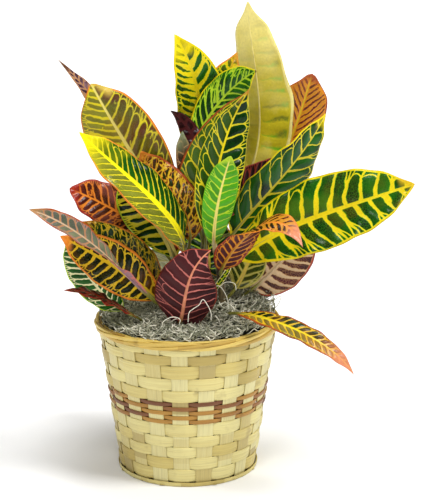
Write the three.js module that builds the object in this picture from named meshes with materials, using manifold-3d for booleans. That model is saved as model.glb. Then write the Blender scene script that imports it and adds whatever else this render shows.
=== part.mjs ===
// Croton growing in a lined, woven bamboo basket dressed with moss.
// Millimetres, +Z up. The origin is the centre of the basket's underside and
// the front of the plant looks toward -Y.
import * as THREE from 'three';
import { mergeVertices } from 'three/addons/utils/BufferGeometryUtils.js';
import Module from 'manifold-3d';

// ---------------------------------------------------------------- dimensions
const GAP = 0.3;                    // clearance kept between touching pieces

const BASKET_HEIGHT = 150;          // floor to the top of the rim
const WALL_FOOT_RADIUS = 65.5;      // middle of the stakes at the floor
const WALL_TOP_RADIUS = 86.2;       // middle of the stakes under the rim
const STAKES = 20;
const FIRST_STAKE = -77.2;          // degrees round from +X to one stake's middle
const STAKE_WIDTH = 15.5;
const STAKE_FOOT = 0.6;             // height of the stakes' lower end, inside the floor
const STAKE_SHORT = 1.2;            // how far the stakes end under the rim's top
const CORNER_CLEAR = 0.6;           // how far a weaver runs straight past a stake's corner
const STRIP = 0.8;                  // thickness of a stake or a weaver
const FLOOR_HEIGHT = 2.4;

// Heights of the woven rows: bottom edge and top edge of each strip.
const LOWER_ROWS = [[4.6, 17.2], [17.7, 29.4], [29.9, 40.8], [41.3, 51.9], [52.4, 64.9]];
const UPPER_ROWS = [[88.4, 99.6], [100.1, 111.9], [112.4, 125.3], [125.8, 135.2], [135.7, 141.3]];
const CANE_ROWS = 5;                // thin dark canes between the two bands
const CANE_FOOT = 65.5;
const CANE_PITCH = 4.55;
const CANE_HEIGHT = 4.1;

const RIM_BAND = 8.6;               // height of the two rim hoops
const RIM_HOOP = 2.2;               // thickness of each

// Outline of the hoop round the foot: out of its inner edge, and up.
const FOOT_HOOP = [[0, 0], [0.6, 0], [1.2, 1.6], [1.0, 4.2], [0.1, 4.2]];
const FOOT_HOOP_STANDOFF = 1.5;     // from the stakes' outer side to that edge

const POT = { foot: 50, top: 78, bottom: 3.2, height: 136, wall: 1.2, floor: 1.5 };
const SOIL_TOP = 130;
const MOSS_RADIUS = 82;
const MOSS_BOTTOM = SOIL_TOP + 3.4;
const MOSS_DOME = 9;                // rise of the moss from the rim to the middle
const MOSS_MOUND = { x: 36, y: 42, height: 12, reach: 38.7 };

const LEAF_THICK = 0.9;
const PETIOLE_RADIUS = 1.5;

// ------------------------------------------------------------ the sight line
// A leaf is placed by points seen on its midrib: across and down in the
// picture of the plant, with the depth in mm behind (+) or before (-) the
// basket's axis.
const EYE = new THREE.Vector3(0, -1500, 590);
const EYE_TURN = THREE.MathUtils.degToRad(1.31);
const EYE_DROP = THREE.MathUtils.degToRad(14.0);
const EYE_FOCAL = 1604;             // picture points
const PICTURE_MIDDLE = [222.5, 250];

const FORWARD = new THREE.Vector3(
  Math.sin(EYE_TURN) * Math.cos(EYE_DROP), Math.cos(EYE_TURN) * Math.cos(EYE_DROP), -Math.sin(EYE_DROP));
const RIGHTWARD = new THREE.Vector3(Math.cos(EYE_TURN), -Math.sin(EYE_TURN), 0);
const UPWARD = new THREE.Vector3().crossVectors(RIGHTWARD, FORWARD);

function seen([across, down, depth]) {
  const ray = FORWARD.clone().multiplyScalar(EYE_FOCAL)
    .addScaledVector(RIGHTWARD, across - PICTURE_MIDDLE[0])
    .addScaledVector(UPWARD, PICTURE_MIDDLE[1] - down);
  return EYE.clone().addScaledVector(ray, (depth - EYE.y) / ray.y);
}

// -------------------------------------------------------------------- stems
// Axis points from the soil to the growing tip, and the radius at each end.
const STEMS = {
  stem_back: { axis: [[18, 22, 96], [18, 21, 150], [17, 19, 205], [17, 16, 262]], foot: 4.6, tip: 3.0 },
  stem_right: { axis: [[38, -6, 96], [37, -8, 140], [33, -11, 180], [29, -13, 222]], foot: 4.4, tip: 3.0 },
  stem_left: { axis: [[-28, -16, 96], [-24, -17, 135], [-12, -14, 185], [1, -9, 224]], foot: 4.6, tip: 3.0 },
};

// ------------------------------------------------------------------- leaves
// foot: height of the leaf's foot on its stem. mid: three points seen on the
// midrib, the last one the tip. width: of the blade. face: turn and tilt, in
// degrees, of the way the upper side looks at the foot and at the tip (turn 0
// is toward the front, +90 toward +X). stalk: part of the length that is
// petiole. widest, full: where the blade is widest and how blunt it is.
const LEAVES = [
  {
    name: 'leaf_tall_pale', stem: 'stem_back', foot: 246,
    mid: [[257, 150, 40], [256.5, 75, 42], [247.8, 1, 38]], width: 70, face: [144, 0, 146, 0],
    stalk: 0.16, widest: 0.42, full: 1.3, fold: 20, tone: 0xd9cc62,
  },
  {
    name: 'leaf_gold_upper_left', stem: 'stem_back', foot: 250,
    mid: [[200, 120, 42], [193, 75, 18], [174.3, 34, 16]], width: 56, face: [16, 8, 20, 8],
    stalk: 0.15, widest: 0.52, full: 1.6, fold: 22, tone: 0xc8b818,
  },
  {
    name: 'leaf_gold_behind', stem: 'stem_back', foot: 258,
    mid: [[212, 125, 58], [222, 90, 35], [237.5, 51.5, 40]], width: 44, face: [0, 12, 5, 12],
    stalk: 0.26, widest: 0.5, full: 1.7, fold: 12, tone: 0xb89a1c,
  },
  {
    name: 'leaf_netted_green', stem: 'stem_back', foot: 240,
    mid: [[201, 131, 18], [225, 96, 18], [256.5, 71, -1]], width: 41, face: [-4, 18, 4, 30],
    stalk: 0.4, widest: 0.55, full: 1.6, fold: 14, tone: 0x2f8a22,
  },
  {
    name: 'leaf_centre_dark', stem: 'stem_right', foot: 217,
    mid: [[214, 195, -43], [226, 137, -21], [249, 89, -24]], width: 52, face: [4, 4, 38, 8],
    stalk: 0.13, widest: 0.48, full: 1.6, fold: 24, tone: 0x1c5a1c,
  },
  {
    name: 'leaf_centre_olive', stem: 'stem_back', foot: 217,
    mid: [[204, 186, -9], [216, 151, -9], [247, 91, -8]], width: 55, face: [-4, 8, 4, 16],
    stalk: 0.2, widest: 0.36, full: 1.5, fold: 10, tone: 0x6b7a20,
  },
  {
    name: 'leaf_new_lime', stem: 'stem_right', foot: 210,
    mid: [[216, 215, -52], [221, 190, -50], [231, 156, -52]], width: 31, face: [4, 2, 6, 30],
    stalk: 0.24, widest: 0.58, full: 1.35, fold: 10, tone: 0x6fb52a,
  },
  {
    name: 'leaf_right_upper', stem: 'stem_right', foot: 219,
    mid: [[252, 211, 0], [287, 171, -5], [326, 113, 12]], width: 57, face: [20, 14, 64, 16],
    stalk: 0.1, widest: 0.44, full: 1.6, fold: 14, tone: 0x1f5f22,
  },
  {
    name: 'leaf_orange_right', stem: 'stem_back', foot: 232,
    mid: [[273, 174, 56], [297, 122, 63], [312, 73.5, 60]], width: 55, face: [-4, 4, 14, 8],
    stalk: 0.26, widest: 0.62, full: 1.35, fold: 12, tone: 0xb0702a,
  },
  {
    name: 'leaf_maroon_behind', stem: 'stem_back', foot: 218,
    mid: [[245, 188, 6], [266, 174, 20], [296, 156, 18]], width: 36, face: [175, 10, 175, 20],
    stalk: 0.2, widest: 0.42, full: 1.4, fold: 10, tone: 0x3c1818,
  },
  {
    name: 'leaf_right_big', stem: 'stem_right', foot: 200,
    mid: [[262, 242, -25], [341, 208.5, -42], [415, 184, -52]], width: 77, face: [0, 34, 4, 32],
    stalk: 0.08, widest: 0.52, full: 1.5, fold: 22, tone: 0x2c6e1e,
  },
  {
    name: 'leaf_arching_orange', stem: 'stem_right', foot: 195,
    mid: [[232, 252, -53], [270, 223, -75], [303, 247.5, -101]], width: 40, face: [172, 36, 5, 45],
    stalk: 0.15, widest: 0.44, full: 1.6, fold: 8, tone: 0xc07028,
  },
  {
    name: 'leaf_burgundy_front', stem: 'stem_left', foot: 142,
    mid: [[183.5, 307, -60], [189.5, 280, -66], [211, 250, -60]], width: 60, face: [176, 12, 172, 30],
    stalk: 0.26, widest: 0.4, full: 1.3, fold: 12, tone: 0x5f2020,
  },
  {
    name: 'leaf_olive_left', stem: 'stem_left', foot: 218,
    mid: [[146, 177, 1], [110, 117.5, -2], [91, 83.5, 0]], width: 69, face: [-6, 6, -4, 10],
    stalk: 0.12, widest: 0.56, full: 1.35, fold: 12, tone: 0x6d6a1f,
  },
  {
    name: 'leaf_thin_tip_left', stem: 'stem_left', foot: 221,
    mid: [[123, 136, 18], [89.5, 93.5, 14], [56.5, 58, 19]], width: 29, face: [70, 20, 60, 30],
    stalk: 0.3, widest: 0.45, full: 1.9, fold: 10, tone: 0x9a6a58,
  },
  {
    name: 'leaf_yellow_front_left', stem: 'stem_left', foot: 206,
    mid: [[177, 229.5, -46], [129.3, 178, -57], [79, 132, -70]], width: 49, face: [22, 48, 18, 40],
    stalk: 0.1, widest: 0.5, full: 1.6, fold: 18, tone: 0xb8c020,
  },
  {
    name: 'leaf_orange_edged', stem: 'stem_left', foot: 216,
    mid: [[184, 214, -29], [163, 185, -16], [141, 151, -21]], width: 45, face: [8, 14, 10, 18],
    stalk: 0.12, widest: 0.5, full: 1.4, fold: 10, tone: 0x7c6a20,
  },
  {
    name: 'leaf_red_left', stem: 'stem_left', foot: 201,
    mid: [[128, 219, 1], [98, 201.5, -11], [69.5, 188.5, -17]], width: 43, face: [-6, 30, -6, 34],
    stalk: 0.27, widest: 0.55, full: 1.15, fold: 12, tone: 0x963c24,
  },
  {
    name: 'leaf_striped_left', stem: 'stem_left', foot: 198,
    mid: [[170, 246, -23], [149, 215, -11], [120, 186, -36]], width: 48, face: [2, 6, -10, 8],
    stalk: 0.14, widest: 0.5, full: 1.6, fold: 14, tone: 0x5c7420,
  },
  {
    name: 'leaf_mottled_left', stem: 'stem_left', foot: 175,
    mid: [[140, 271, -29], [106, 246, -40], [73, 222, -41]], width: 50, face: [-4, 24, -4, 30],
    stalk: 0.11, widest: 0.45, full: 1.3, fold: 10, tone: 0x6a6a1e,
  },
  {
    name: 'leaf_long_left', stem: 'stem_left', foot: 163,
    mid: [[141, 289, -58], [88, 241, -84], [29, 209.5, -92]], width: 25, face: [176, 62, 0, 40],
    stalk: 0.2, widest: 0.6, full: 1.7, fold: 10, tone: 0x8a7a62,
  },
  {
    name: 'leaf_orange_left', stem: 'stem_left', foot: 159,
    mid: [[128, 276, -47], [95, 255, -56], [60, 236, -60]], width: 46, face: [-10, 26, -10, 34],
    stalk: 0.14, widest: 0.5, full: 1.6, fold: 8, tone: 0xb08028,
  },
  {
    name: 'leaf_green_low_left', stem: 'stem_left', foot: 150,
    mid: [[109, 299, -28], [84, 270, -32], [66, 242, -36]], width: 36, face: [-18, 12, -18, 12],
    stalk: 0.3, widest: 0.5, full: 1.4, fold: 8, tone: 0x3d5f22,
  },
  {
    name: 'leaf_red_edge_on', stem: 'stem_left', foot: 146,
    mid: [[112, 303, -52], [86, 292.5, -58], [63.5, 290.5, -62]], width: 24, face: [0, 84, 0, 80],
    stalk: 0.3, widest: 0.5, full: 1.6, fold: 8, tone: 0x6a2a22,
  },
  {
    name: 'leaf_drooping_right', stem: 'stem_right', foot: 152,
    mid: [[240, 313.5, -54], [298.5, 331, -88], [354, 375, -104]], width: 22, face: [8, 60, 14, 46],
    stalk: 0.22, widest: 0.5, full: 1.75, fold: 10, tone: 0xb98a30,
  },
  {
    name: 'leaf_olive_low_right', stem: 'stem_right', foot: 170,
    mid: [[238, 284, -6], [246, 268, 2], [259, 240, 8]], width: 36, face: [-6, 6, -6, 10],
    stalk: 0.2, widest: 0.5, full: 1.4, fold: 8, tone: 0x6b6f2c,
  },
  {
    name: 'leaf_beige_low_right', stem: 'stem_right', foot: 162,
    mid: [[267, 276, 14], [293, 247, 18], [312, 218, 20]], width: 62, face: [178, 6, 178, 12],
    stalk: 0.26, widest: 0.42, full: 1.4, fold: 8, tone: 0x8a5a46,
  },
  {
    name: 'leaf_maroon_tip', stem: 'stem_back', foot: 249,
    mid: [[204, 172, -1], [193, 137, 12], [170, 110.5, 2]], width: 19, face: [8, 20, 8, 24],
    stalk: 0.3, widest: 0.5, full: 1.6, fold: 8, tone: 0x3c1414,
  },
  {
    name: 'leaf_brown_sliver', stem: 'stem_back', foot: 198,
    mid: [[191, 182, -6], [184.5, 156, -5], [182.5, 131, 3]], width: 20, face: [0, 8, 0, 10],
    stalk: 0.3, widest: 0.5, full: 1.2, fold: 8, tone: 0x6a5038,
  },
  {
    name: 'leaf_narrow_green', stem: 'stem_right', foot: 161,
    mid: [[211, 305, -12], [217, 286, -18], [223, 262, -35]], width: 9, face: [40, 0, 40, 0],
    stalk: 0.28, widest: 0.5, full: 1.2, fold: 8, tone: 0x2c5a2a,
  },
  {
    name: 'leaf_rear_upper_left', stem: 'stem_back', foot: 230,
    mid: [[163, 203, 58], [140, 155, 84], [124, 122, 96]], width: 54, face: [170, 30, 175, 40],
    stalk: 0.16, widest: 0.5, full: 1.5, fold: 10, tone: 0x3a6a22,
  },
  {
    name: 'leaf_rear_upper_right', stem: 'stem_back', foot: 222,
    mid: [[262, 226, 64], [300, 216, 92], [345, 208, 112]], width: 56, face: [-175, 50, -175, 40],
    stalk: 0.16, widest: 0.5, full: 1.5, fold: 10, tone: 0x9a7a24,
  },
  {
    name: 'leaf_rear_middle', stem: 'stem_back', foot: 192,
    mid: [[209, 264, 46], [208, 250, 64], [207, 212, 84]], width: 54, face: [0, 24, 0, 30],
    stalk: 0.06, widest: 0.5, full: 1.0, fold: 10, tone: 0x2f6420,
  },
  {
    name: 'leaf_rear_low_left', stem: 'stem_back', foot: 192,
    mid: [[176, 262, 60], [152, 261, 92], [118, 268, 115]], width: 60, face: [-165, 22, -165, 30],
    stalk: 0.06, widest: 0.5, full: 1.5, fold: 10, tone: 0x8a3a26,
  },
  {
    name: 'leaf_rear_low_right', stem: 'stem_back', foot: 177,
    mid: [[234, 272, 44], [256, 262, 72], [288, 250, 116]], width: 60, face: [176, 50, 165, 50],
    stalk: 0.06, widest: 0.5, full: 1.5, fold: 10, tone: 0x70722a,
  },
];

// ------------------------------------------------------------ solid building
function geometryOf(vertices, triangles) {
  const geometry = new THREE.BufferGeometry();
  geometry.setAttribute('position', new THREE.Float32BufferAttribute(vertices.flat(), 3));
  geometry.setIndex(triangles.flat());
  return geometry;
}

// Closed skin over rings that all have the same number of points; the last
// ring joins the first when looped, otherwise both ends are capped. From the
// side mirroredFrom on, the squares are split along their other diagonal, so
// the two faces of a twisted blade stay parallel.
function skin(rings, looped, mirroredFrom = Infinity) {
  const around = rings[0].length;
  const vertices = rings.flat();
  const triangles = [];
  const spans = looped ? rings.length : rings.length - 1;
  for (let i = 0; i < spans; i += 1) {
    const here = i * around;
    const next = ((i + 1) % rings.length) * around;
    for (let j = 0; j < around; j += 1) {
      const k = (j + 1) % around;
      if (j < mirroredFrom) {
        triangles.push([here + j, here + k, next + k], [here + j, next + k, next + j]);
      } else {
        triangles.push([here + j, here + k, next + j], [here + k, next + k, next + j]);
      }
    }
  }
  if (!looped) {
    const last = (rings.length - 1) * around;
    for (let j = 1; j < around - 1; j += 1) {
      triangles.push([0, j + 1, j], [last, last + j, last + j + 1]);
    }
  }
  return outward(geometryOf(vertices, triangles));
}

function signedVolume(geometry) {
  const at = geometry.getAttribute('position');
  const corners = geometry.getIndex().array;
  const [a, b, c] = [new THREE.Vector3(), new THREE.Vector3(), new THREE.Vector3()];
  let total = 0;
  for (let i = 0; i < corners.length; i += 3) {
    a.fromBufferAttribute(at, corners[i]);
    b.fromBufferAttribute(at, corners[i + 1]);
    c.fromBufferAttribute(at, corners[i + 2]);
    total += a.dot(b.cross(c)) / 6;
  }
  return total;
}

function outward(geometry) {
  if (signedVolume(geometry) < 0) {
    const corners = geometry.getIndex().array;
    for (let i = 0; i < corners.length; i += 3) {
      [corners[i], corners[i + 1]] = [corners[i + 1], corners[i]];
    }
  }
  return geometry;
}

const wasm = await Module();
wasm.setup();

function toManifold(geometry) {
  const bare = geometry.clone();
  bare.deleteAttribute('normal');
  bare.deleteAttribute('uv');
  const merged = mergeVertices(bare, 1e-4);
  return new wasm.Manifold(new wasm.Mesh({
    numProp: 3,
    vertProperties: new Float32Array(merged.getAttribute('position').array),
    triVerts: new Uint32Array(merged.getIndex().array),
  }));
}

function fromManifold(solid) {
  const mesh = solid.getMesh();
  const geometry = new THREE.BufferGeometry();
  geometry.setAttribute('position', new THREE.BufferAttribute(new Float32Array(mesh.vertProperties), 3));
  geometry.setIndex(new THREE.BufferAttribute(new Uint32Array(mesh.triVerts), 1));
  return geometry;
}

const turned = (radius, angle, z) => [radius * Math.cos(angle), radius * Math.sin(angle), z];

// ------------------------------------------------------------------- basket
const wallRadius = (z) => THREE.MathUtils.lerp(WALL_FOOT_RADIUS, WALL_TOP_RADIUS, z / BASKET_HEIGHT);

const stakeAngle = (index) => THREE.MathUtils.degToRad(FIRST_STAKE + index * 360 / STAKES);

// Half the angle a stake covers, seen from the axis, at a given radius.
const stakeHalfAngle = (radius) => Math.atan2(STAKE_WIDTH / 2 + CORNER_CLEAR, radius);

// A weaver passes outside every second stake and inside the others. It runs
// straight across each stake, so two sections per stake give its shape.
function wovenRing(foot, top, parity, thick = STRIP) {
  const rings = [];
  for (let stake = 0; stake < STAKES; stake += 1) {
    const swing = ((stake + parity) % 2 === 0 ? 1 : -1) * (STRIP / 2 + GAP + thick / 2);
    for (const side of [-1, 1]) {
      const ring = [];
      for (const [z, skinSide] of [[foot, -1], [foot, 1], [top, 1], [top, -1]]) {
        const flat = wallRadius(z) + swing + skinSide * thick / 2;
        const half = stakeHalfAngle(wallRadius(z));
        const angle = stakeAngle(stake) + side * half;
        ring.push(turned(flat / Math.cos(half), angle, z));
      }
      rings.push(ring);
    }
  }
  return skin(rings, true);
}

function stake(index) {
  const middle = stakeAngle(index);
  const bar = (radius, z, thickness) => {
    const across = [-Math.sin(middle), Math.cos(middle)];
    const out = [Math.cos(middle), Math.sin(middle)];
    return [[-1, -1], [1, -1], [1, 1], [-1, 1]].map(([side, face]) => [
      out[0] * (radius + face * thickness / 2) + across[0] * side * STAKE_WIDTH / 2,
      out[1] * (radius + face * thickness / 2) + across[1] * side * STAKE_WIDTH / 2,
      z,
    ]);
  };
  const top = BASKET_HEIGHT - STAKE_SHORT;
  return skin([bar(wallRadius(STAKE_FOOT), STAKE_FOOT, STRIP), bar(wallRadius(top), top, STRIP)], false);
}

function basketBaseAndStakes() {
  const edge = WALL_FOOT_RADIUS + 0.3;
  const outline = [[0, 0], [edge, 0], [edge, FLOOR_HEIGHT], [0, FLOOR_HEIGHT]];
  let solid = toManifold(solidDisc(outline, STAKES * 2));
  for (let i = 0; i < STAKES; i += 1) {
    solid = solid.add(toManifold(stake(i)));
  }
  return fromManifold(solid);
}

function stripped(geometry) {
  geometry.deleteAttribute('normal');
  geometry.deleteAttribute('uv');
  return geometry;
}

// Ring swept round the axis from a closed outline of [radius, height] pairs.
function hoop(outline, segments = STAKES * 2) {
  const rings = [];
  for (let i = 0; i < segments; i += 1) {
    const angle = i * 2 * Math.PI / segments;
    rings.push(outline.map(([radius, z]) => turned(radius, angle, z)));
  }
  return skin(rings, true);
}

function baseHoop() {
  const inside = WALL_FOOT_RADIUS + STRIP / 2 + FOOT_HOOP_STANDOFF;
  return hoop(FOOT_HOOP.map(([out, z]) => [inside + out, z]));
}

function rimHoop(inner) {
  const top = BASKET_HEIGHT;
  const foot = top - RIM_BAND + 0.3;
  const wall = (z) => wallRadius(z) + (inner ? -0.95 : 1.35);
  const step = inner ? -RIM_HOOP : RIM_HOOP;
  return hoop([
    [wall(foot), foot], [wall(foot) + step * 0.75, foot + 0.6],
    [wall(top - 3) + step, top - 3], [wall(top) + step * 0.6, top], [wall(top), top - 0.2],
  ]);
}

// ------------------------------------------------------------- pot and soil
function potRadius(z) {
  return THREE.MathUtils.lerp(POT.foot, POT.top, (z - POT.bottom) / POT.height);
}

function growPot() {
  const rim = POT.bottom + POT.height;
  const floor = POT.bottom + POT.floor;
  return fromManifold(toManifold(solidDisc([
    [0, POT.bottom], [potRadius(POT.bottom), POT.bottom], [potRadius(rim), rim],
    [potRadius(rim) - POT.wall, rim], [potRadius(floor) - POT.wall, floor], [0, floor],
  ], STAKES * 2)));
}

function solidDisc(outline, segments) {
  const points = outline.map(([r, z]) => new THREE.Vector2(r, z));
  const lathe = new THREE.LatheGeometry(points, segments).rotateX(Math.PI / 2);
  return outward(mergeVertices(stripped(lathe), 1e-4));
}

function pottingSoil(sockets) {
  const floor = POT.bottom + POT.floor + GAP;
  const inside = (z) => potRadius(z) - POT.wall - GAP;
  const plug = solidDisc([
    [0, floor], [inside(floor) - 0.1, floor], [inside(SOIL_TOP), SOIL_TOP],
    [50, SOIL_TOP + 2], [0, SOIL_TOP + 2.5],
  ], STAKES * 2);
  return cut(toManifold(plug), sockets);
}

// Rolling top of the moss: it slopes to the rim, leans up to the back and
// right, where it is also heaped in a mound, and has a few soft lumps.
function mossTop(x, y) {
  const r = Math.hypot(x, y) / MOSS_RADIUS;
  const dome = 1 - r ** 2.6;
  const lean = 0.05 * x + 0.105 * y;
  const lumps = 1.4 * Math.sin(x / 11 + 1.0) * Math.cos(y / 13 - 0.6) + 1.1 * Math.sin((x + y) / 17);
  const fromMound = Math.hypot(x - MOSS_MOUND.x, y - MOSS_MOUND.y) / MOSS_MOUND.reach;
  const mound = MOSS_MOUND.height * Math.exp(-(fromMound ** 2));
  const inner = Math.min(1, 1.9 * (1 - r) + 0.35);
  return BASKET_HEIGHT + 1 + MOSS_DOME * dome + mound + (lean + lumps) * inner;
}

function moss(cutters) {
  const around = 30;
  const radii = [14, 30, 46, 60, 72, 80, MOSS_RADIUS];
  const vertices = [[0, 0, mossTop(0, 0)]];
  const triangles = [];
  for (const r of radii) {
    for (let j = 0; j < around; j += 1) {
      const a = j * 2 * Math.PI / around;
      vertices.push([r * Math.cos(a), r * Math.sin(a), mossTop(r * Math.cos(a), r * Math.sin(a))]);
    }
  }
  for (let j = 0; j < around; j += 1) {
    triangles.push([0, 1 + j, 1 + (j + 1) % around]);
  }
  for (const [r, z] of [[MOSS_RADIUS - 0.3, 146.5], [80.6, 142], [75.2, 139.8], [74.6, MOSS_BOTTOM]]) {
    for (let j = 0; j < around; j += 1) {
      vertices.push(turned(r, j * 2 * Math.PI / around, z));
    }
  }
  const rings = radii.length + 4;
  for (let i = 0; i < rings - 1; i += 1) {
    for (let j = 0; j < around; j += 1) {
      const [a, b] = [1 + i * around + j, 1 + i * around + (j + 1) % around];
      triangles.push([a, a + around, b + around], [a, b + around, b]);
    }
  }
  const last = 1 + (rings - 1) * around;
  vertices.push([0, 0, MOSS_BOTTOM]);
  for (let j = 0; j < around; j += 1) {
    triangles.push([vertices.length - 1, last + (j + 1) % around, last + j]);
  }
  return cut(toManifold(outward(geometryOf(vertices, triangles))), cutters);
}

function cut(solid, cutters) {
  for (const cutter of cutters) {
    solid = solid.subtract(toManifold(cutter));
  }
  const pieces = solid.decompose().sort((a, b) => b.volume() - a.volume());
  return fromManifold(pieces[0]);
}

// --------------------------------------------------------- stems and leaves
function stemAt(stem, z) {
  const axis = stem.axis;
  let i = 0;
  while (i < axis.length - 2 && z > axis[i + 1][2]) {
    i += 1;
  }
  const t = THREE.MathUtils.clamp((z - axis[i][2]) / (axis[i + 1][2] - axis[i][2]), 0, 1);
  const point = new THREE.Vector3(...axis[i]).lerp(new THREE.Vector3(...axis[i + 1]), t);
  const rise = (z - axis[0][2]) / (axis[axis.length - 1][2] - axis[0][2]);
  return { point, radius: THREE.MathUtils.lerp(stem.foot, stem.tip, rise) };
}

const STEM_SIDES = 10;

function stemSolid(stem, grow = 0) {
  const rings = [];
  for (let i = 0; i < stem.axis.length; i += 1) {
    const z = stem.axis[i][2] - (grow > 0 && i === 0 ? grow : 0);
    const { point, radius } = stemAt(stem, stem.axis[i][2]);
    const ring = [];
    for (let j = 0; j < STEM_SIDES; j += 1) {
      const a = j * 2 * Math.PI / STEM_SIDES;
      ring.push([point.x + (radius + grow) * Math.cos(a), point.y + (radius + grow) * Math.sin(a), z]);
    }
    rings.push(ring);
  }
  const end = stem.axis[stem.axis.length - 1];
  rings.push(rings[rings.length - 1].map(([x, y]) => [(x + end[0]) / 2, (y + end[1]) / 2, end[2] + 2.5]));
  return skin(rings, false);
}

function lookWay(turn, tilt) {
  const [a, b] = [turn, tilt].map(THREE.MathUtils.degToRad);
  return new THREE.Vector3(Math.sin(a) * Math.cos(b), -Math.cos(a) * Math.cos(b), Math.sin(b));
}

// The midrib is the cubic through the foot and the three seen points, spaced
// by the distances between them.
function midribOf(leaf) {
  const points = leaf.mid.map(seen);
  const { point, radius } = stemAt(STEMS[leaf.stem], leaf.foot);
  const away = points[0].clone().sub(point).setZ(0).normalize();
  points.unshift(point.clone().addScaledVector(away, radius + GAP + 0.5));
  const knots = [0];
  for (let i = 1; i < 4; i += 1) {
    knots.push(knots[i - 1] + points[i].distanceTo(points[i - 1]));
  }
  const along = (t) => {
    const sum = new THREE.Vector3();
    for (let i = 0; i < 4; i += 1) {
      let weight = 1;
      for (let j = 0; j < 4; j += 1) {
        if (j !== i) {
          weight *= (t * knots[3] - knots[j]) / (knots[i] - knots[j]);
        }
      }
      sum.addScaledVector(points[i], weight);
    }
    return sum;
  };
  const tangent = (t) => along(Math.min(1, t + 0.01)).sub(along(Math.max(0, t - 0.01))).normalize();
  return { along, tangent };
}

function halfWidth(leaf, u) {
  const { widest, full, width } = leaf;
  const [rise, fall] = [full * widest, full * (1 - widest)];
  const shape = (x) => x ** rise * (1 - x) ** fall;
  const drip = 1 - 0.4 * THREE.MathUtils.smoothstep(u, 0.85, 1);
  return width / 2 * drip * shape(u) / shape(widest);
}

const STALK_STATIONS = [0, 0.35, 0.75];
const BLADE_STATIONS = [0.01, 0.08, 0.18, 0.3, 0.43, 0.56, 0.69, 0.81, 0.91, 0.98];
const SECTION = [[-1, 0], [-0.5, 1], [0, 1], [0.5, 1], [1, 0], [0.5, -1], [0, -1], [-0.5, -1]];

function leafSolid(leaf, grow = 0) {
  const line = midribOf(leaf);
  const [from, to] = [lookWay(leaf.face[0], leaf.face[1]), lookWay(leaf.face[2], leaf.face[3])];
  const rings = [];
  const station = (t, u) => {
    const along = line.tangent(t);
    const point = line.along(t).addScaledVector(along, t === 0 ? -grow : 0);
    const up = from.clone().lerp(to, t);
    up.addScaledVector(along, -up.dot(along)).normalize();
    const side = new THREE.Vector3().crossVectors(along, up);
    const round = 1 - THREE.MathUtils.smoothstep(u, 0, 0.16);
    const stalk = PETIOLE_RADIUS * (t === 0 ? 0.5 : 1) + grow;
    const half = Math.max(stalk, halfWidth(leaf, Math.max(u, 0)) + grow);
    const flat = LEAF_THICK / 2 * (u > 0.95 ? 0.7 : 1) + grow;
    const fold = THREE.MathUtils.degToRad(leaf.fold) * (1 - round);
    rings.push(SECTION.map(([v, face]) => {
      const body = THREE.MathUtils.lerp(flat, stalk * (v === 0 ? 1 : 0.75), round);
      const lift = Math.abs(v) * half * Math.sin(fold) + face * body;
      const reach = v * half * Math.cos(fold);
      const at = point.clone().addScaledVector(side, reach).addScaledVector(up, lift);
      return at.toArray();
    }));
  };
  for (const s of STALK_STATIONS) {
    station(s * leaf.stalk, -1);
  }
  for (const u of BLADE_STATIONS) {
    station(leaf.stalk + (1 - leaf.stalk) * u, u);
  }
  const end = line.along(1).addScaledVector(line.tangent(1), grow).toArray();
  rings.push(SECTION.map(([v, face]) => [end[0] + 0.02 * v, end[1], end[2] + 0.02 * face]));
  return skin(rings, false, SECTION.length / 2);
}

// ----------------------------------------------------------------- assembly
const COLOURS = {
  straw: 0xdfd193,
  gold: 0xd2a953,
  cane: 0x9a5f31,
  liner: 0x2c2c2a,
  soil: 0x2e2018,
  moss: 0xa3a489,
  bark: 0x6a5b3a,
};
const LOW_LEAF = 185;               // a leaf with its foot under this height may reach the moss
const LEAF_SOCKET = 0.5;            // room left in the moss round such a leaf

const plant = new THREE.Group();

function place(name, geometry, colour) {
  const mesh = new THREE.Mesh(geometry, new THREE.MeshStandardMaterial({ color: colour, roughness: 0.7 }));
  mesh.name = name;
  plant.add(mesh);
}

place('basket_base_and_stakes', basketBaseAndStakes(), COLOURS.straw);
place('base_hoop', baseHoop(), COLOURS.straw);
[...LOWER_ROWS, ...UPPER_ROWS].forEach(([foot, top], row) => {
  const number = String(row + 1).padStart(2, '0');
  place(`weaver_${number}`, wovenRing(foot, top, row % LOWER_ROWS.length + 1), COLOURS.straw);
});
for (let row = 0; row < CANE_ROWS; row += 1) {
  const foot = CANE_FOOT + row * CANE_PITCH;
  place(`accent_cane_${row + 1}`, wovenRing(foot, foot + CANE_HEIGHT, row), COLOURS.cane);
}
place('rim_hoop_outer', rimHoop(false), COLOURS.gold);
place('rim_hoop_inner', rimHoop(true), COLOURS.gold);
place('grow_pot', growPot(), COLOURS.liner);

const stemSockets = Object.values(STEMS).map((stem) => stemSolid(stem, GAP));
place('potting_soil', pottingSoil(stemSockets), COLOURS.soil);
const leafSockets = LEAVES.filter((leaf) => leaf.foot < LOW_LEAF).map((leaf) => leafSolid(leaf, LEAF_SOCKET));
place('moss', moss([...stemSockets, ...leafSockets]), COLOURS.moss);
for (const [name, stem] of Object.entries(STEMS)) {
  place(name, stemSolid(stem), COLOURS.bark);
}
for (const leaf of LEAVES) {
  place(leaf.name, leafSolid(leaf), leaf.tone);
}

export default plant;
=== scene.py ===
"""Looks of a potted croton: leaves, stems, moss and a woven bamboo basket.

Metres, +Z up, the basket's axis on the origin and its front toward -Y.
"""

import math

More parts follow.
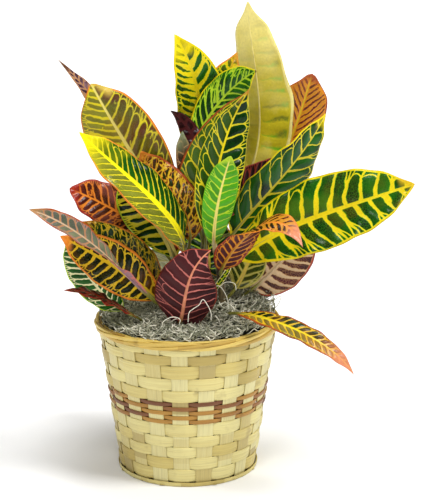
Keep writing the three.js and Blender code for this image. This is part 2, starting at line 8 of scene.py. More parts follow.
import bpy
import numpy as np
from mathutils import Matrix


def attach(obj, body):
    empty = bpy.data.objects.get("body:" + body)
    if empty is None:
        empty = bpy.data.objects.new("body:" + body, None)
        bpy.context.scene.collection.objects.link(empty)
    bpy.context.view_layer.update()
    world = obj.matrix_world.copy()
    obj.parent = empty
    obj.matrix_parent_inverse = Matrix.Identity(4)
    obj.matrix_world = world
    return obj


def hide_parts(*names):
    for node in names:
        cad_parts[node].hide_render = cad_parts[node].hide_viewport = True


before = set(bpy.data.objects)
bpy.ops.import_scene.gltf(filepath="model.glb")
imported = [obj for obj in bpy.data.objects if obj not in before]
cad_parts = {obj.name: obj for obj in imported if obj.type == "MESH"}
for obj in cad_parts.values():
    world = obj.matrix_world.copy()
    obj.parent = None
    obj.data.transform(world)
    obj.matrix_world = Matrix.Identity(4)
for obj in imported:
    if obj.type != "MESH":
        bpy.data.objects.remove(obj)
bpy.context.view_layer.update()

MM = 0.001
TAU = 2 * math.pi

# ------------------------------------------------------------------ camera
# The picture is 445 x 500 points. The eye is 1.5 m in front of the basket's
# axis, turned a little to the right and looking down.
EYE = np.array([0.0, -1.5, 0.59])
EYE_TURN = math.radians(1.31)
EYE_DROP = math.radians(14.0)
EYE_FOCAL = 1604.0
PICTURE_MIDDLE = (222.5, 250.0)
PICTURE_LONG_SIDE = 500.0
SENSOR = 36.0

FORWARD = np.array([
    math.sin(EYE_TURN) * math.cos(EYE_DROP),
    math.cos(EYE_TURN) * math.cos(EYE_DROP),
    -math.sin(EYE_DROP),
])
RIGHTWARD = np.array([math.cos(EYE_TURN), -math.sin(EYE_TURN), 0.0])
UPWARD = np.cross(RIGHTWARD, FORWARD)


def make_camera():
    lens = bpy.data.cameras.new("front_view")
    lens.sensor_width = SENSOR
    lens.lens = EYE_FOCAL / PICTURE_LONG_SIDE * SENSOR
    camera = bpy.data.objects.new("front_view", lens)
    camera.location = EYE
    camera.rotation_euler = (math.pi / 2 - EYE_DROP, 0, -EYE_TURN)
    bpy.context.scene.collection.objects.link(camera)
    bpy.context.scene.camera = camera


def seen(across, down, depth):
    """Point on the sight line through a picture point, depth metres behind the axis."""
    ray = (
        FORWARD * EYE_FOCAL
        + RIGHTWARD * (across - PICTURE_MIDDLE[0])
        + UPWARD * (PICTURE_MIDDLE[1] - down)
    )
    return EYE + ray * (depth - EYE[1]) / ray[1]


make_camera()


# ------------------------------------------------------------- node helpers
class Tree:
    """A node tree being built: short calls add a node and wire its inputs."""

    def __init__(self, tree):
        self.tree = tree
        self.nodes = tree.nodes
        self.entry = None

    def add(self, kind, inputs=None, **settings):
        node = self.nodes.new(kind)
        for name, value in settings.items():
            setattr(node, name, value)
        for key, value in (inputs or {}).items():
            self.feed(self.pick(node.inputs, key), value)
        return node

    @staticmethod
    def pick(sockets, key):
        if isinstance(key, int):
            return sockets[key]
        return next(s for s in sockets if s.name == key and s.enabled)

    def feed(self, socket, value):
        if isinstance(value, bpy.types.Node):
            value = next(s for s in value.outputs if s.enabled)
        if isinstance(value, bpy.types.NodeSocket):
            self.tree.links.new(value, socket)
        else:
            socket.default_value = value

    def out(self, kind, name, inputs=None, **settings):
        return self.pick(self.add(kind, inputs, **settings).outputs, name)

    def asked(self, name):
        """A named input of this group."""
        return self.pick(self.entry.outputs, name)

    def math(self, operation, a, b=0.0, c=0.0, clamp=False):
        inputs = {0: a, 1: b, 2: c}
        return self.out("ShaderNodeMath", "Value", inputs, operation=operation, use_clamp=clamp)

    def plus(self, *terms):
        total = terms[0]
        for term in terms[1:]:
            total = self.math("ADD", total, term)
        return total

    def minus(self, a, b):
        return self.math("SUBTRACT", a, b)

    def over(self, a, b, clamp=False):
        return self.math("DIVIDE", a, b, clamp=clamp)

    def sine(self, turn):
        return self.math("SINE", turn)

    def cosine(self, turn):
        return self.math("COSINE", turn)

    def absolute(self, value):
        return self.math("ABSOLUTE", value)

    def above(self, value, limit):
        """1 where the value is above the limit, 0 elsewhere."""
        return self.math("GREATER_THAN", value, limit)

    def below(self, value, limit):
        """1 where the value is below the limit, 0 elsewhere."""
        return self.math("LESS_THAN", value, limit)

    def times(self, *factors):
        product = factors[0]
        for factor in factors[1:]:
            product = self.math("MULTIPLY", product, factor)
        return product

    def vector(self, operation, a, b=(0, 0, 0), scale=1.0):
        node = self.add("ShaderNodeVectorMath", {0: a, 1: b}, operation=operation)
        if operation == "SCALE":
            self.feed(node.inputs["Scale"], scale)
        return node.outputs["Vector"]

    def joined(self, x, y, z):
        return self.out("ShaderNodeCombineXYZ", "Vector", {"X": x, "Y": y, "Z": z})

    def parts(self, vector):
        """The X, Y and Z of a vector or a colour."""
        node = self.add("ShaderNodeSeparateXYZ", {"Vector": vector})
        return [node.outputs[axis] for axis in "XYZ"]

    def ramp(self, value, low, high, to_low=0.0, to_high=1.0, kind="SMOOTHSTEP"):
        """Smooth step from to_low at low up to to_high at high."""
        inputs = {"Value": value, "From Min": low, "From Max": high, "To Min": to_low, "To Max": to_high}
        return self.out("ShaderNodeMapRange", "Result", inputs, interpolation_type=kind)

    def blend(self, factor, a, b):
        inputs = {"Factor": factor, "A": a, "B": b}
        return self.out("ShaderNodeMix", "Result", inputs, data_type="RGBA")

    def noise(self, vector, scale, detail=2.0, output="Fac"):
        inputs = {"Vector": vector, "Scale": scale, "Detail": detail}
        return self.out("ShaderNodeTexNoise", output, inputs)

    def attribute(self, name):
        return self.out("ShaderNodeAttribute", "Fac", attribute_name=name)


SEAM = 0.01 * MM
SOCKETS = {bool: "NodeSocketBool", int: "NodeSocketInt", float: "NodeSocketFloat"}


def socket_type(default):
    """The kind of socket that a default value needs; a string names the kind itself."""
    if isinstance(default, str):
        return "NodeSocket" + default
    if isinstance(default, tuple):
        return "NodeSocketColor" if len(default) == 4 else "NodeSocketVector"
    return SOCKETS[type(default)]


def new_group(name, kind, inputs, outputs):
    """Starts a node group. Inputs are name: default; a string default is a socket kind."""
    tree = bpy.data.node_groups.new(name, kind)
    for way, sockets in (("INPUT", inputs), ("OUTPUT", outputs)):
        for label, default in sockets.items():
            socket = tree.interface.new_socket(name=label, in_out=way, socket_type=socket_type(default))
            if not isinstance(default, str):
                socket.default_value = default
    group = Tree(tree)
    group.entry = tree.nodes.new("NodeGroupInput")
    return group


def finish_group(group, results):
    end = group.nodes.new("NodeGroupOutput")
    for label, value in results.items():
        group.feed(end.inputs[label], value)


def shape_tree(name, inputs):
    """Starts a Geometry Nodes tree with a mesh input and the given named inputs."""
    geometry = {"Geometry": "Geometry"}
    return new_group(name, "GeometryNodeTree", {**geometry, **inputs}, geometry)


def stored(tree, geometry, name, value, data_type="FLOAT", domain="POINT"):
    inputs = {"Geometry": geometry, "Name": name, "Value": value}
    return tree.out("GeometryNodeStoreNamedAttribute", "Geometry", inputs, data_type=data_type, domain=domain)


def named(tree, name, data_type="FLOAT"):
    return tree.out("GeometryNodeInputNamedAttribute", "Attribute", {"Name": name}, data_type=data_type)


def index_of(tree):
    return tree.out("GeometryNodeInputIndex", "Index")


def position_of(tree):
    return tree.out("GeometryNodeInputPosition", "Position")


def shifted(tree, point, way, distance):
    """A point moved by a distance along a stored direction."""
    step = tree.vector("SCALE", named(tree, way, "FLOAT_VECTOR"), scale=distance)
    return tree.vector("ADD", point, step)


def placed(tree, geometry, place):
    return tree.out("GeometryNodeSetPosition", "Geometry", {"Geometry": geometry, "Position": place})


def flipped(tree, mesh):
    return tree.out("GeometryNodeFlipFaces", "Mesh", {"Mesh": mesh})


def sewn(tree, geometry):
    """Merges the points that meet at a seam."""
    return tree.out("GeometryNodeMergeByDistance", "Geometry", {"Geometry": geometry, "Distance": SEAM})


def together(tree, shapes):
    join = tree.add("GeometryNodeJoinGeometry")
    for shape in shapes:
        tree.tree.links.new(shape, join.inputs["Geometry"])
    return join


def copies_on(tree, points, shape):
    """A copy of the shape on every point, as plain mesh."""
    copies = tree.out("GeometryNodeInstanceOnPoints", "Instances", {"Points": points, "Instance": shape})
    return tree.out("GeometryNodeRealizeInstances", "Geometry", {"Geometry": copies})


def curve_of(tree, line):
    return tree.out("GeometryNodeMeshToCurve", "Curve", {"Mesh": line})


def rod_along(tree, curve, sides, radius=1.0, girth=None):
    """A round rod along a curve: its radius is the same all along, or times a girth."""
    ring = tree.out("GeometryNodeCurvePrimitiveCircle", "Curve", {"Resolution": sides, "Radius": radius})
    inputs = {"Curve": curve, "Profile Curve": ring, "Fill Caps": True}
    if girth is not None:
        inputs["Scale"] = girth
    return tree.out("GeometryNodeCurveToMesh", "Mesh", inputs)


def end_shape(tree, geometry, materials):
    """Realizes, smooths and paints: materials is a list of (socket, selection)."""
    geometry = tree.out("GeometryNodeRealizeInstances", "Geometry", {"Geometry": geometry})
    geometry = tree.out("GeometryNodeSetShadeSmooth", "Geometry", {"Geometry": geometry})
    for material, selection in materials:
        inputs = {"Geometry": geometry, "Material": material}
        if selection is not None:
            inputs["Selection"] = selection
        geometry = tree.out("GeometryNodeSetMaterial", "Geometry", inputs)
    finish_group(tree, {"Geometry": geometry})


def grow(name, tree, values, mesh=None):
    """Runs a tree on a mesh, or on none, and keeps the result as a piece with a plain mesh."""
    if mesh is None:
        mesh = bpy.data.meshes.new("start")
    piece = bpy.data.objects.new(name, mesh)
    bpy.context.scene.collection.objects.link(piece)
    modifier = piece.modifiers.new("shape", "NODES")
    modifier.node_group = tree.tree
    for item in tree.tree.interface.items_tree:
        if item.in_out == "INPUT" and item.name in values:
            modifier[item.identifier] = values[item.name]
    depsgraph = bpy.context.evaluated_depsgraph_get()
    grown = piece.evaluated_get(depsgraph)
    plain = bpy.data.meshes.new_from_object(grown, preserve_all_data_layers=True, depsgraph=depsgraph)
    plain.name = name
    piece.modifiers.clear()
    piece.data = plain
    return piece


def belongs(piece, slot, *nodes):
    """Ties a piece to its body, the root, and hides the nodes it stands for. The slot is not used."""
    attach(piece, "root")
    for node in nodes:
        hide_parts(node)


# ------------------------------------------------------------------ colours
def colour(code):
    """Linear colour of a six-digit code."""
    parts = [int(code[i:i + 2], 16) / 255 for i in (0, 2, 4)]
    return tuple(p / 12.92 if p <= 0.04045 else ((p + 0.055) / 1.055) ** 2.4 for p in parts) + (1.0,)


PALETTE = {
    "blackish green": "08170a",
    "bottle green": "0c3009",
    "leaf green": "1c5c0e",
    "fresh green": "4f9e1c",
    "sprout": "72b61e",
    "lime": "b4d22a",
    "sap": "45641a",
    "olive": "5e5c10",
    "dark olive": "343a0c",
    "moss olive": "86842a",
    "lemon": "f8ea16",
    "yellow": "ecd412",
    "gold": "dcb422",
    "amber": "cc8c20",
    "cream": "f0e8b0",
    "sunlit": "fcec90",
    "sulphur": "dac824",
    "pale yellow": "ecdc74",
    "tan yellow": "d4b650",
    "khaki": "b8ac54",
    "orange": "e8882c",
    "rust": "a64c20",
    "salmon": "e4906a",
    "rose": "c46e64",
    "brick": "9c3a26",
    "red": "a82c1c",
    "burgundy": "4c1c1e",
    "plum": "36181e",
    "maroon": "280e12",
    "mauve": "98727a",
    "slate": "56604c",
    "dusty green": "76805a",
    "tan": "b0804e",
    "beige": "c8aa84",
    "brown": "58331c",
    "dark brown": "2e1c10",
}
TONES = {name: colour(code) for name, code in PALETTE.items()}


def new_material(name):
    material = bpy.data.materials.new(name)
    material.use_nodes = True
    tree = Tree(material.node_tree)
    tree.nodes.clear()
    return material, tree


def surfaced(tree, base, roughness, height=None, strength=0.4, distance=0.5 * MM, **constants):
    """Ends a material: a Principled shader, its bump and its plain settings."""
    shader = tree.add("ShaderNodeBsdfPrincipled", {"Base Color": base, "Roughness": roughness})
    for label, value in constants.items():
        shader.inputs[label.replace("_", " ")].default_value = value
    if height is not None:
        inputs = {"Height": height, "Strength": strength, "Distance": distance}
        tree.feed(shader.inputs["Normal"], tree.out("ShaderNodeBump", "Normal", inputs))
    tree.add("ShaderNodeOutputMaterial", {"Surface": shader.outputs["BSDF"]})


def place_in_object(tree):
    return tree.out("ShaderNodeTexCoord", "Object")


# ------------------------------------------------------------------- leaves
# The sizes in the leaf table are in mm, picture points and degrees.
STEMS = {
    "stem_back": {
        "axis": [(18, 22, 96), (18, 21, 150), (17, 19, 205), (17, 16, 262)], "foot": 4.6, "tip": 3.0,
    },
    "stem_right": {
        "axis": [(38, -6, 96), (37, -8, 140), (33, -11, 180), (29, -13, 222)], "foot": 4.4, "tip": 3.0,
    },
    "stem_left": {
        "axis": [(-28, -16, 96), (-24, -17, 135), (-12, -14, 185), (1, -9, 224)], "foot": 4.6, "tip": 3.0,
    },
}
LEAF_THICK = 0.7 * MM
PETIOLE_RADIUS = 1.45 * MM
RIB_RADIUS = 1.0 * MM
RIB_PROUD = 0.12 * MM
GAP = 0.8 * MM
STALK_POINTS = 10
BLADE_POINTS = 76
BLADE_COLUMNS = 27
UPPER_LAYER, UNDER_LAYER, STALK_LAYER = 1, 2, 3


def stem_at(stem, height):
    axis = np.array(STEMS[stem]["axis"]) * MM
    rise = (height - axis[0, 2]) / (axis[-1, 2] - axis[0, 2])
    point = np.array([np.interp(height, axis[:, 2], axis[:, k]) for k in range(3)])
    radius = (STEMS[stem]["foot"] + (STEMS[stem]["tip"] - STEMS[stem]["foot"]) * rise) * MM
    return point, radius


def look_way(turn, tilt):
    turn, tilt = math.radians(turn), math.radians(tilt)
    return np.array([math.sin(turn) * math.cos(tilt), -math.cos(turn) * math.cos(tilt), math.sin(tilt)])


def smooth(x, low, high):
    x = np.clip((x - low) / (high - low), 0, 1)
    return x * x * (3 - 2 * x)


def unit(rows):
    return rows / np.linalg.norm(rows, axis=-1, keepdims=True)


def midrib_of(leaf):
    """The cubic through the leaf's foot and the three points seen on its midrib."""
    points = [seen(across, down, depth * MM) for across, down, depth in leaf["mid"]]
    on_stem, radius = stem_at(leaf["stem"], leaf["foot"] * MM)
    away = (points[0] - on_stem) * (1, 1, 0)
    points = np.array([on_stem + unit(away) * (radius + GAP)] + points)
    knots = np.concatenate([[0], np.cumsum(np.linalg.norm(np.diff(points, axis=0), axis=1))])

    def along(t):
        total = np.zeros((len(t), 3))
        for i in range(4):
            weight = np.ones(len(t))
            for j in range(4):
                if j != i:
                    weight *= (t * knots[3] - knots[j]) / (knots[i] - knots[j])
            total += weight[:, None] * points[i]
        return total

    return along


def half_width(leaf, u):
    rise = leaf["full"] * leaf["widest"]
    fall = leaf["full"] * (1 - leaf["widest"])
    peak = leaf["widest"] ** rise * (1 - leaf["widest"]) ** fall
    drip = 1 - 0.4 * smooth(u, 0.85, 1.0)
    return leaf["width"] * MM / 2 * drip * u ** rise * (1 - u) ** fall / peak


def add_values(mesh, name, values):
    kind = "FLOAT_VECTOR" if values.ndim == 2 else "FLOAT"
    field = "vector" if values.ndim == 2 else "value"
    layer = mesh.attributes.new(name, kind, "POINT")
    layer.data.foreach_set(field, values.astype(np.float32).ravel())


def line_mesh(name, points):
    mesh = bpy.data.meshes.new(name)
    edges = [(i, i + 1) for i in range(len(points) - 1)]
    mesh.from_pydata([tuple(p) for p in points], edges, [])
    return mesh


def leaf_line(leaf):
    """A leaf's midrib as a line of points that carry its width and its facing."""
    along = midrib_of(leaf)
    stalk = leaf["stalk"]
    t = np.concatenate([
        np.linspace(0, stalk, STALK_POINTS, endpoint=False),
        stalk + (1 - stalk) * np.linspace(0, 1, BLADE_POINTS),
    ])
    points = along(t)
    forward = unit(along(np.minimum(t + 0.01, 1)) - along(np.maximum(t - 0.01, 0)))
    first, last = look_way(*leaf["face"][:2]), look_way(*leaf["face"][2:])
    up = first + (last - first) * t[:, None]
    up = unit(up - forward * np.sum(up * forward, axis=1, keepdims=True))
    part = np.clip((t - stalk) / (1 - stalk), 0, 1)
    lengths = np.concatenate([[0], np.cumsum(np.linalg.norm(np.diff(points, axis=0), axis=1))])
    half = half_width(leaf, part)
    half[:STALK_POINTS] = 0
    half[STALK_POINTS] = half[STALK_POINTS + 1] * 0.35
    ribbed = smooth(part, 0, 0.25)
    girth = PETIOLE_RADIUS * (1 - ribbed) + RIB_RADIUS * ribbed * (1 - part) ** 0.7
    mesh = line_mesh(leaf["name"], points)
    add_values(mesh, "up", up)
    add_values(mesh, "side", np.cross(forward, up))
    add_values(mesh, "half", half)
    add_values(mesh, "part", part)
    add_values(mesh, "from_base", lengths - lengths[STALK_POINTS])
    add_values(mesh, "girth", girth + RIB_PROUD)
    return mesh


def vein_phase(tree, s, d, spacing, slope, bend):
    """Counts the side veins: whole numbers lie on a vein, the sides alternate."""
    reach = tree.absolute(d)
    lead = tree.plus(tree.times(reach, slope), tree.times(reach, reach, bend))
    steps = tree.over(tree.minus(s, lead), spacing)
    return tree.plus(steps, tree.times(tree.above(d, 0.0), 0.5))


def leaf_tree():
    """A blade on its stalk, along a line that carries the leaf's width and facing."""
    tree = shape_tree("leaf", {
        "Stations": BLADE_POINTS,
        "Columns": BLADE_COLUMNS,
        "First": STALK_POINTS,
        "Thickness": LEAF_THICK,
        "Fold": 0.2,
        "Curl": 0.0,
        "Ripple": 1.2 * MM,
        "Waves": 4.0,
        "Quilt": 0.35 * MM,
        "Vein Spacing": 12 * MM,
        "Vein Slope": 0.5,
        "Vein Bend": 8.0,
        "Seed": 0.0,
        "Upper Side": "Material",
        "Under Side": "Material",
        "Stalk": "Material",
    })
    line, columns = tree.asked("Geometry"), tree.asked("Columns")
    inputs = {"Vertices X": tree.asked("Stations"), "Vertices Y": columns}
    sheet = tree.out("GeometryNodeMeshGrid", "Mesh", inputs)
    index = index_of(tree)
    station = tree.math("FLOOR", tree.over(index, columns))
    column = tree.minus(index, tree.times(station, columns))
    row = tree.plus(station, tree.asked("First"))

    def on_line(value, data_type="FLOAT"):
        """What the leaf's line has at this row of the blade."""
        inputs = {"Geometry": line, "Value": value, "Index": row}
        return tree.out("GeometryNodeSampleIndex", "Value", inputs, data_type=data_type)

    span = tree.minus(tree.over(tree.times(column, 2.0), tree.minus(columns, 1.0)), 1.0)
    half = on_line(named(tree, "half"))
    numbers = {
        "across": span,
        "half": half,
        "from_rib": tree.times(span, half),
        "from_edge": tree.times(tree.minus(1.0, tree.absolute(span)), half),
        "part": on_line(named(tree, "part")),
        "from_base": on_line(named(tree, "from_base")),
    }
    for name, value in numbers.items():
        sheet = stored(tree, sheet, name, value)
    vectors = {
        "rib": position_of(tree),
        "way_up": named(tree, "up", "FLOAT_VECTOR"),
        "way_side": named(tree, "side", "FLOAT_VECTOR"),
    }
    for name, value in vectors.items():
        sheet = stored(tree, sheet, name, on_line(value, "FLOAT_VECTOR"), "FLOAT_VECTOR")

    # v runs from -1 to 1 across the blade; s and d are the distances along the midrib and from it.
    v, half, part = named(tree, "across"), named(tree, "half"), named(tree, "part")
    s, d = named(tree, "from_base"), named(tree, "from_rib")
    reach = tree.absolute(v)
    fold = tree.times(tree.asked("Fold"), tree.ramp(part, 0.0, 0.16))
    trough = tree.times(reach, half, tree.sine(fold))
    curl = tree.times(tree.asked("Curl"), half, v, v)
    turn = tree.plus(tree.times(part, tree.asked("Waves"), TAU), tree.times(v, 1.3), tree.asked("Seed"))
    wave = tree.plus(tree.sine(turn), tree.times(tree.sine(tree.times(turn, 1.73)), 0.6))
    wave = tree.times(wave, tree.asked("Ripple"), reach, reach, tree.ramp(half, 0.0, 12 * MM))
    veins = [tree.asked(label) for label in ("Vein Spacing", "Vein Slope", "Vein Bend")]
    phase = vein_phase(tree, s, d, *veins)
    pillow = tree.times(tree.cosine(tree.times(phase, TAU)), -1.0, tree.asked("Quilt"))
    pillow = tree.times(pillow, tree.ramp(reach, 0.0, 0.25), tree.ramp(reach, 1.0, 0.8),
                        tree.ramp(half, 0.0, 10 * MM))
    lift = tree.plus(trough, curl, wave, pillow)
    out = tree.times(d, tree.cosine(fold))
    point = shifted(tree, named(tree, "rib", "FLOAT_VECTOR"), "way_side", out)
    blunt = tree.math("SUBTRACT", 1.0, tree.math("POWER", reach, 6.0), clamp=True)
    body = tree.times(tree.asked("Thickness"), 0.5, tree.math("SQRT", blunt), tree.ramp(half, 0.0, 2 * MM))

    upper = placed(tree, sheet, shifted(tree, point, "way_up", tree.plus(lift, body)))
    upper = stored(tree, flipped(tree, upper), "layer", UPPER_LAYER, "INT", "FACE")
    lower = placed(tree, sheet, shifted(tree, point, "way_up", tree.minus(lift, body)))
    lower = stored(tree, lower, "layer", UNDER_LAYER, "INT", "FACE")
    blade = sewn(tree, together(tree, (upper, lower)))

    girth = named(tree, "girth")
    depth = tree.times(girth, -0.55, tree.ramp(named(tree, "part"), 0.0, 0.12))
    sunk = tree.vector("SCALE", named(tree, "up", "FLOAT_VECTOR"), scale=depth)
    rod = tree.out("GeometryNodeSetPosition", "Geometry", {"Geometry": line, "Offset": sunk})
    rod = rod_along(tree, curve_of(tree, rod), 10, girth=girth)
    rod = stored(tree, rod, "layer", STALK_LAYER, "INT", "FACE")

    layer = named(tree, "layer", "INT")
    paints = []
    for number, label in ((UPPER_LAYER, "Upper Side"), (UNDER_LAYER, "Under Side"), (STALK_LAYER, "Stalk")):
        inputs = {"A": layer, "B": number}
        chosen = tree.out("FunctionNodeCompare", "Result", inputs, data_type="INT", operation="EQUAL")
        paints.append((tree.asked(label), chosen))
    end_shape(tree, together(tree, (rod, blade)), paints)
    return tree


# ----------------------------------------------------------- leaf colouring
# Sizes are in mm, and each width is half of a line's own width.
FINISH = dict(
    spacing=11.0, slope=0.6, bend=8.0, vein_width=0.7, rib_width=1.8, margin_width=0.8, halo=0.8,
    forks=0.35, loops=0.4, net=0.3, net_cell=5.0, ragged=0.5, flush=0.0, tip_start=0.92, base_end=0.0,
    other_side=0.0, other_density=1.0,
    vein="yellow", rib="yellow", halo_tone="leaf green", island="bottle green", deep="blackish green",
    margin="yellow", flush_tone="orange", tip="yellow", base="yellow", other_tone="maroon",
)
IN_MM = ("spacing", "vein_width", "rib_width", "margin_width", "halo", "net_cell")
UNDERSIDE = {**FINISH, **dict(
    vein="khaki", rib="khaki", halo_tone="dusty green", island="dusty green", deep="moss olive",
    margin="khaki", flush_tone="tan", tip="khaki", base="khaki", other_tone="mauve",
)}


def pattern_inputs(look):
    """A look as the pattern's inputs: labels for keys, colours for tones and metres for mm."""
    inputs = {}
    for key, value in look.items():
        if isinstance(value, str):
            value = TONES[value]
        elif key in IN_MM:
            value *= MM
        inputs[key.replace("_", " ").title()] = value
    return inputs


def croton_pattern():
    """Colour and relief of a croton blade, from the distances that its mesh carries."""
    inputs = {**pattern_inputs(FINISH), "Seed": 0.0}
    outputs = {"Color": "Color", "Height": "Float", "Gloss": "Float"}
    tree = new_group("croton pattern", "ShaderNodeTree", inputs, outputs)
    ask = tree.asked
    spacing, slope, vein_half = ask("Spacing"), ask("Slope"), ask("Vein Width")

    # s and d are the distances along the midrib and from it; v runs from -1 to 1 across the blade.
    s, d = tree.attribute("from_base"), tree.attribute("from_rib")
    edge, part, v = tree.attribute("from_edge"), tree.attribute("part"), tree.attribute("across")
    half = tree.attribute("half")
    reach, wide = tree.absolute(d), tree.absolute(v)
    flat = tree.joined(s, d, tree.times(ask("Seed"), 0.05))
    broad = tree.noise(flat, 28.0, 2.0)
    fine = tree.minus(tree.noise(flat, 420.0, 3.0), 0.5)

    def wander(scale, detail):
        """Two shifts from -0.5 to 0.5 that change slowly over the blade."""
        x, y, _ = tree.parts(tree.noise(flat, scale, detail, "Color"))
        return tree.minus(x, 0.5), tree.minus(y, 0.5)

    sway_s, sway_d = wander(48.0, 1.0)
    shake_s, shake_d = wander(240.0, 2.0)
    ragged = tree.times(ask("Ragged"), 2.6 * MM)
    s_bent = tree.plus(s, tree.times(sway_s, spacing, 0.6), tree.times(shake_s, ragged))
    clear = tree.ramp(reach, 0.0, 6 * MM)
    stray = tree.plus(tree.times(sway_d, 5 * MM), tree.times(shake_d, ragged))
    d_bent = tree.plus(d, tree.times(stray, clear))

    # One half of the blade, picked by the sign of Other Side, takes the Other Tone and Other Density. On most
    # leaves this is the leaf's own colour; on striped_left it is painted shade on the turned-away right half.
    other = tree.ramp(tree.times(v, tree.math("SIGN", ask("Other Side"))), -0.03, 0.05)
    density = tree.plus(1.0, tree.times(other, tree.minus(ask("Other Density"), 1.0)))
    phase = tree.times(vein_phase(tree, s_bent, d_bent, spacing, slope, ask("Bend")), density)
    gap = tree.math("PINGPONG", phase, 0.5)
    step = tree.over(tree.times(spacing, 0.88), density)
    thin = tree.ramp(broad, 0.3, 0.7, 0.8, 1.2)
    side = tree.above(d, 0.0)

    def luck(number):
        """Three numbers from 0 to 1 that are the same along one vein, or within one island."""
        key = tree.joined(number, side, ask("Seed"))
        drawn = tree.out("ShaderNodeTexWhiteNoise", "Color", {"Vector": key}, noise_dimensions="3D")
        return tree.parts(drawn)

    def away(distance, width, present=1.0):
        """How far a point lies outside a line, much further where the line isn't present."""
        missing = tree.times(tree.minus(1.0, present), 5 * MM)
        return tree.plus(tree.minus(distance, width), missing)

    def voronoi(scale):
        """Distance to the walls of the cells that the finest veins draw."""
        inputs = {"Vector": cell_at, "Scale": scale}
        return tree.out("ShaderNodeTexVoronoi", "Distance", inputs, feature="DISTANCE_TO_EDGE")

    vein_luck = luck(tree.math("ROUND", phase))
    island_luck = luck(tree.math("FLOOR", phase))
    tapered = tree.ramp(wide, 0.0, 1.0, 1.6, 0.5)
    vein_width = tree.times(vein_half, tapered, thin, tree.plus(0.75, tree.times(vein_luck[0], 0.5)))
    off_vein = away(tree.times(gap, step), vein_width)
    spread_from = tree.plus(0.25, tree.times(vein_luck[2], 0.35))
    spread = tree.ramp(wide, spread_from, 1.0, 0.0, 0.38)
    off_fork = tree.times(tree.absolute(tree.minus(gap, spread)), step)
    forked = tree.below(vein_luck[1], ask("Forks"))
    off_fork = away(off_fork, tree.times(vein_width, 0.7), forked)
    arch = tree.plus(0.66, tree.times(gap, tree.minus(1.0, gap), 0.6), tree.times(sway_s, 0.2))
    off_loop = tree.times(tree.absolute(tree.minus(wide, arch)), half)
    looped = tree.below(island_luck[0], ask("Loops"))
    off_loop = away(off_loop, tree.times(vein_width, 0.8), looped)
    slant = tree.minus(s_bent, tree.times(tree.absolute(d_bent), slope))
    cell = ask("Net Cell")
    cell_at = tree.joined(tree.over(slant, cell), tree.over(tree.times(d_bent, 0.75), cell),
                          tree.times(ask("Seed"), 0.7))
    cell_wall = voronoi(1.0)
    net_place = tree.noise(tree.vector("ADD", flat, (0.7, 0.2, 0.1)), 60.0, 1.0)
    bare = tree.minus(1.0, ask("Net"))
    netted = tree.ramp(net_place, tree.minus(bare, 0.1), tree.plus(bare, 0.05))
    off_net = away(tree.times(cell_wall, cell), tree.times(vein_half, 0.35, thin), netted)
    off_rib = away(reach, tree.times(ask("Rib Width"), tree.ramp(part, 0.0, 1.0, 1.1, 0.3)))
    off_edge = away(edge, tree.times(ask("Margin Width"), tree.ramp(broad, 0.3, 0.7, 0.6, 1.5)))
    off_line = off_vein
    for distance in (off_fork, off_loop, off_net, off_rib, off_edge):
        off_line = tree.math("SMOOTH_MIN", off_line, distance, 0.9 * MM)
    off_line = tree.plus(off_line, tree.times(fine, ragged, 0.8))

    halo = ask("Halo")
    core = tree.ramp(off_line, 0.0, tree.times(halo, 0.5), 1.0, 0.0)
    glow = tree.ramp(off_line, tree.times(halo, 0.4), tree.times(halo, 1.3), 1.0, 0.0)
    off_thread = tree.plus(voronoi(3.4), tree.times(fine, 0.2))
    thread = tree.times(tree.ramp(off_thread, 0.02, 0.12, 1.0, 0.0), tree.ramp(broad, 0.3, 0.6, 0.5, 0.15))
    island = tree.blend(tree.ramp(broad, 0.38, 0.62), ask("Island"), ask("Deep"))
    island = tree.blend(tree.times(other, tree.absolute(ask("Other Side"))), island, ask("Other Tone"))
    island = tree.vector("SCALE", island, scale=tree.plus(0.75, tree.times(island_luck[1], 0.5)))
    patches = tree.ramp(tree.noise(tree.vector("ADD", flat, (0.3, 0.1, 0.7)), 26.0, 4.0), 0.44, 0.6)
    toward_tip = tree.ramp(tree.plus(part, tree.times(sway_s, 0.3)), ask("Tip Start"), 1.0)
    base_end = tree.plus(ask("Base End"), 0.001)
    toward_base = tree.ramp(tree.plus(part, tree.times(sway_s, 0.1)), 0.0, base_end, 1.0, 0.0)
    coats = [
        (thread, "Halo Tone"),
        (glow, "Halo Tone"),
        (core, "Vein"),
        (tree.ramp(off_edge, 0.0, 0.5 * MM, 1.0, 0.0), "Margin"),
        (tree.ramp(off_rib, 0.0, 0.5 * MM, 1.0, 0.0), "Rib"),
        (tree.times(patches, ask("Flush")), "Flush Tone"),
        (toward_tip, "Tip"),
        (toward_base, "Base"),
    ]
    paint = island
    for cover, tone in coats:
        paint = tree.blend(cover, paint, ask(tone))
    mottle = tree.plus(1.0, tree.times(fine, 0.35), tree.times(tree.minus(broad, 0.5), 0.4))
    paint = tree.vector("SCALE", paint, scale=mottle)

    pillow = tree.ramp(off_line, 0.0, 3 * MM)
    pebble = tree.times(tree.ramp(cell_wall, 0.0, 0.35), 0.3)
    height = tree.plus(pillow, pebble, tree.times(fine, 0.2))
    gloss = tree.plus(0.24, tree.times(core, 0.1), tree.times(fine, 0.12))
    finish_group(tree, {"Color": paint, "Height": height, "Gloss": gloss})
    return tree


def blade_material(name, pattern, look, seed, underside=False):
    material, tree = new_material(name)
    group = tree.add("ShaderNodeGroup", {**pattern_inputs(look), "Seed": seed}, node_tree=pattern.tree)
    paint, height, gloss = (group.outputs[label] for label in ("Color", "Height", "Gloss"))
    if underside:
        surfaced(tree, paint, 0.5, height, 0.35, -0.5 * MM, Specular_IOR_Level=0.18)
    else:
        surfaced(tree, paint, gloss, height, 0.45, 0.6 * MM,
                 Coat_Weight=0.08, Coat_Roughness=0.1, Specular_IOR_Level=0.17)
    return material


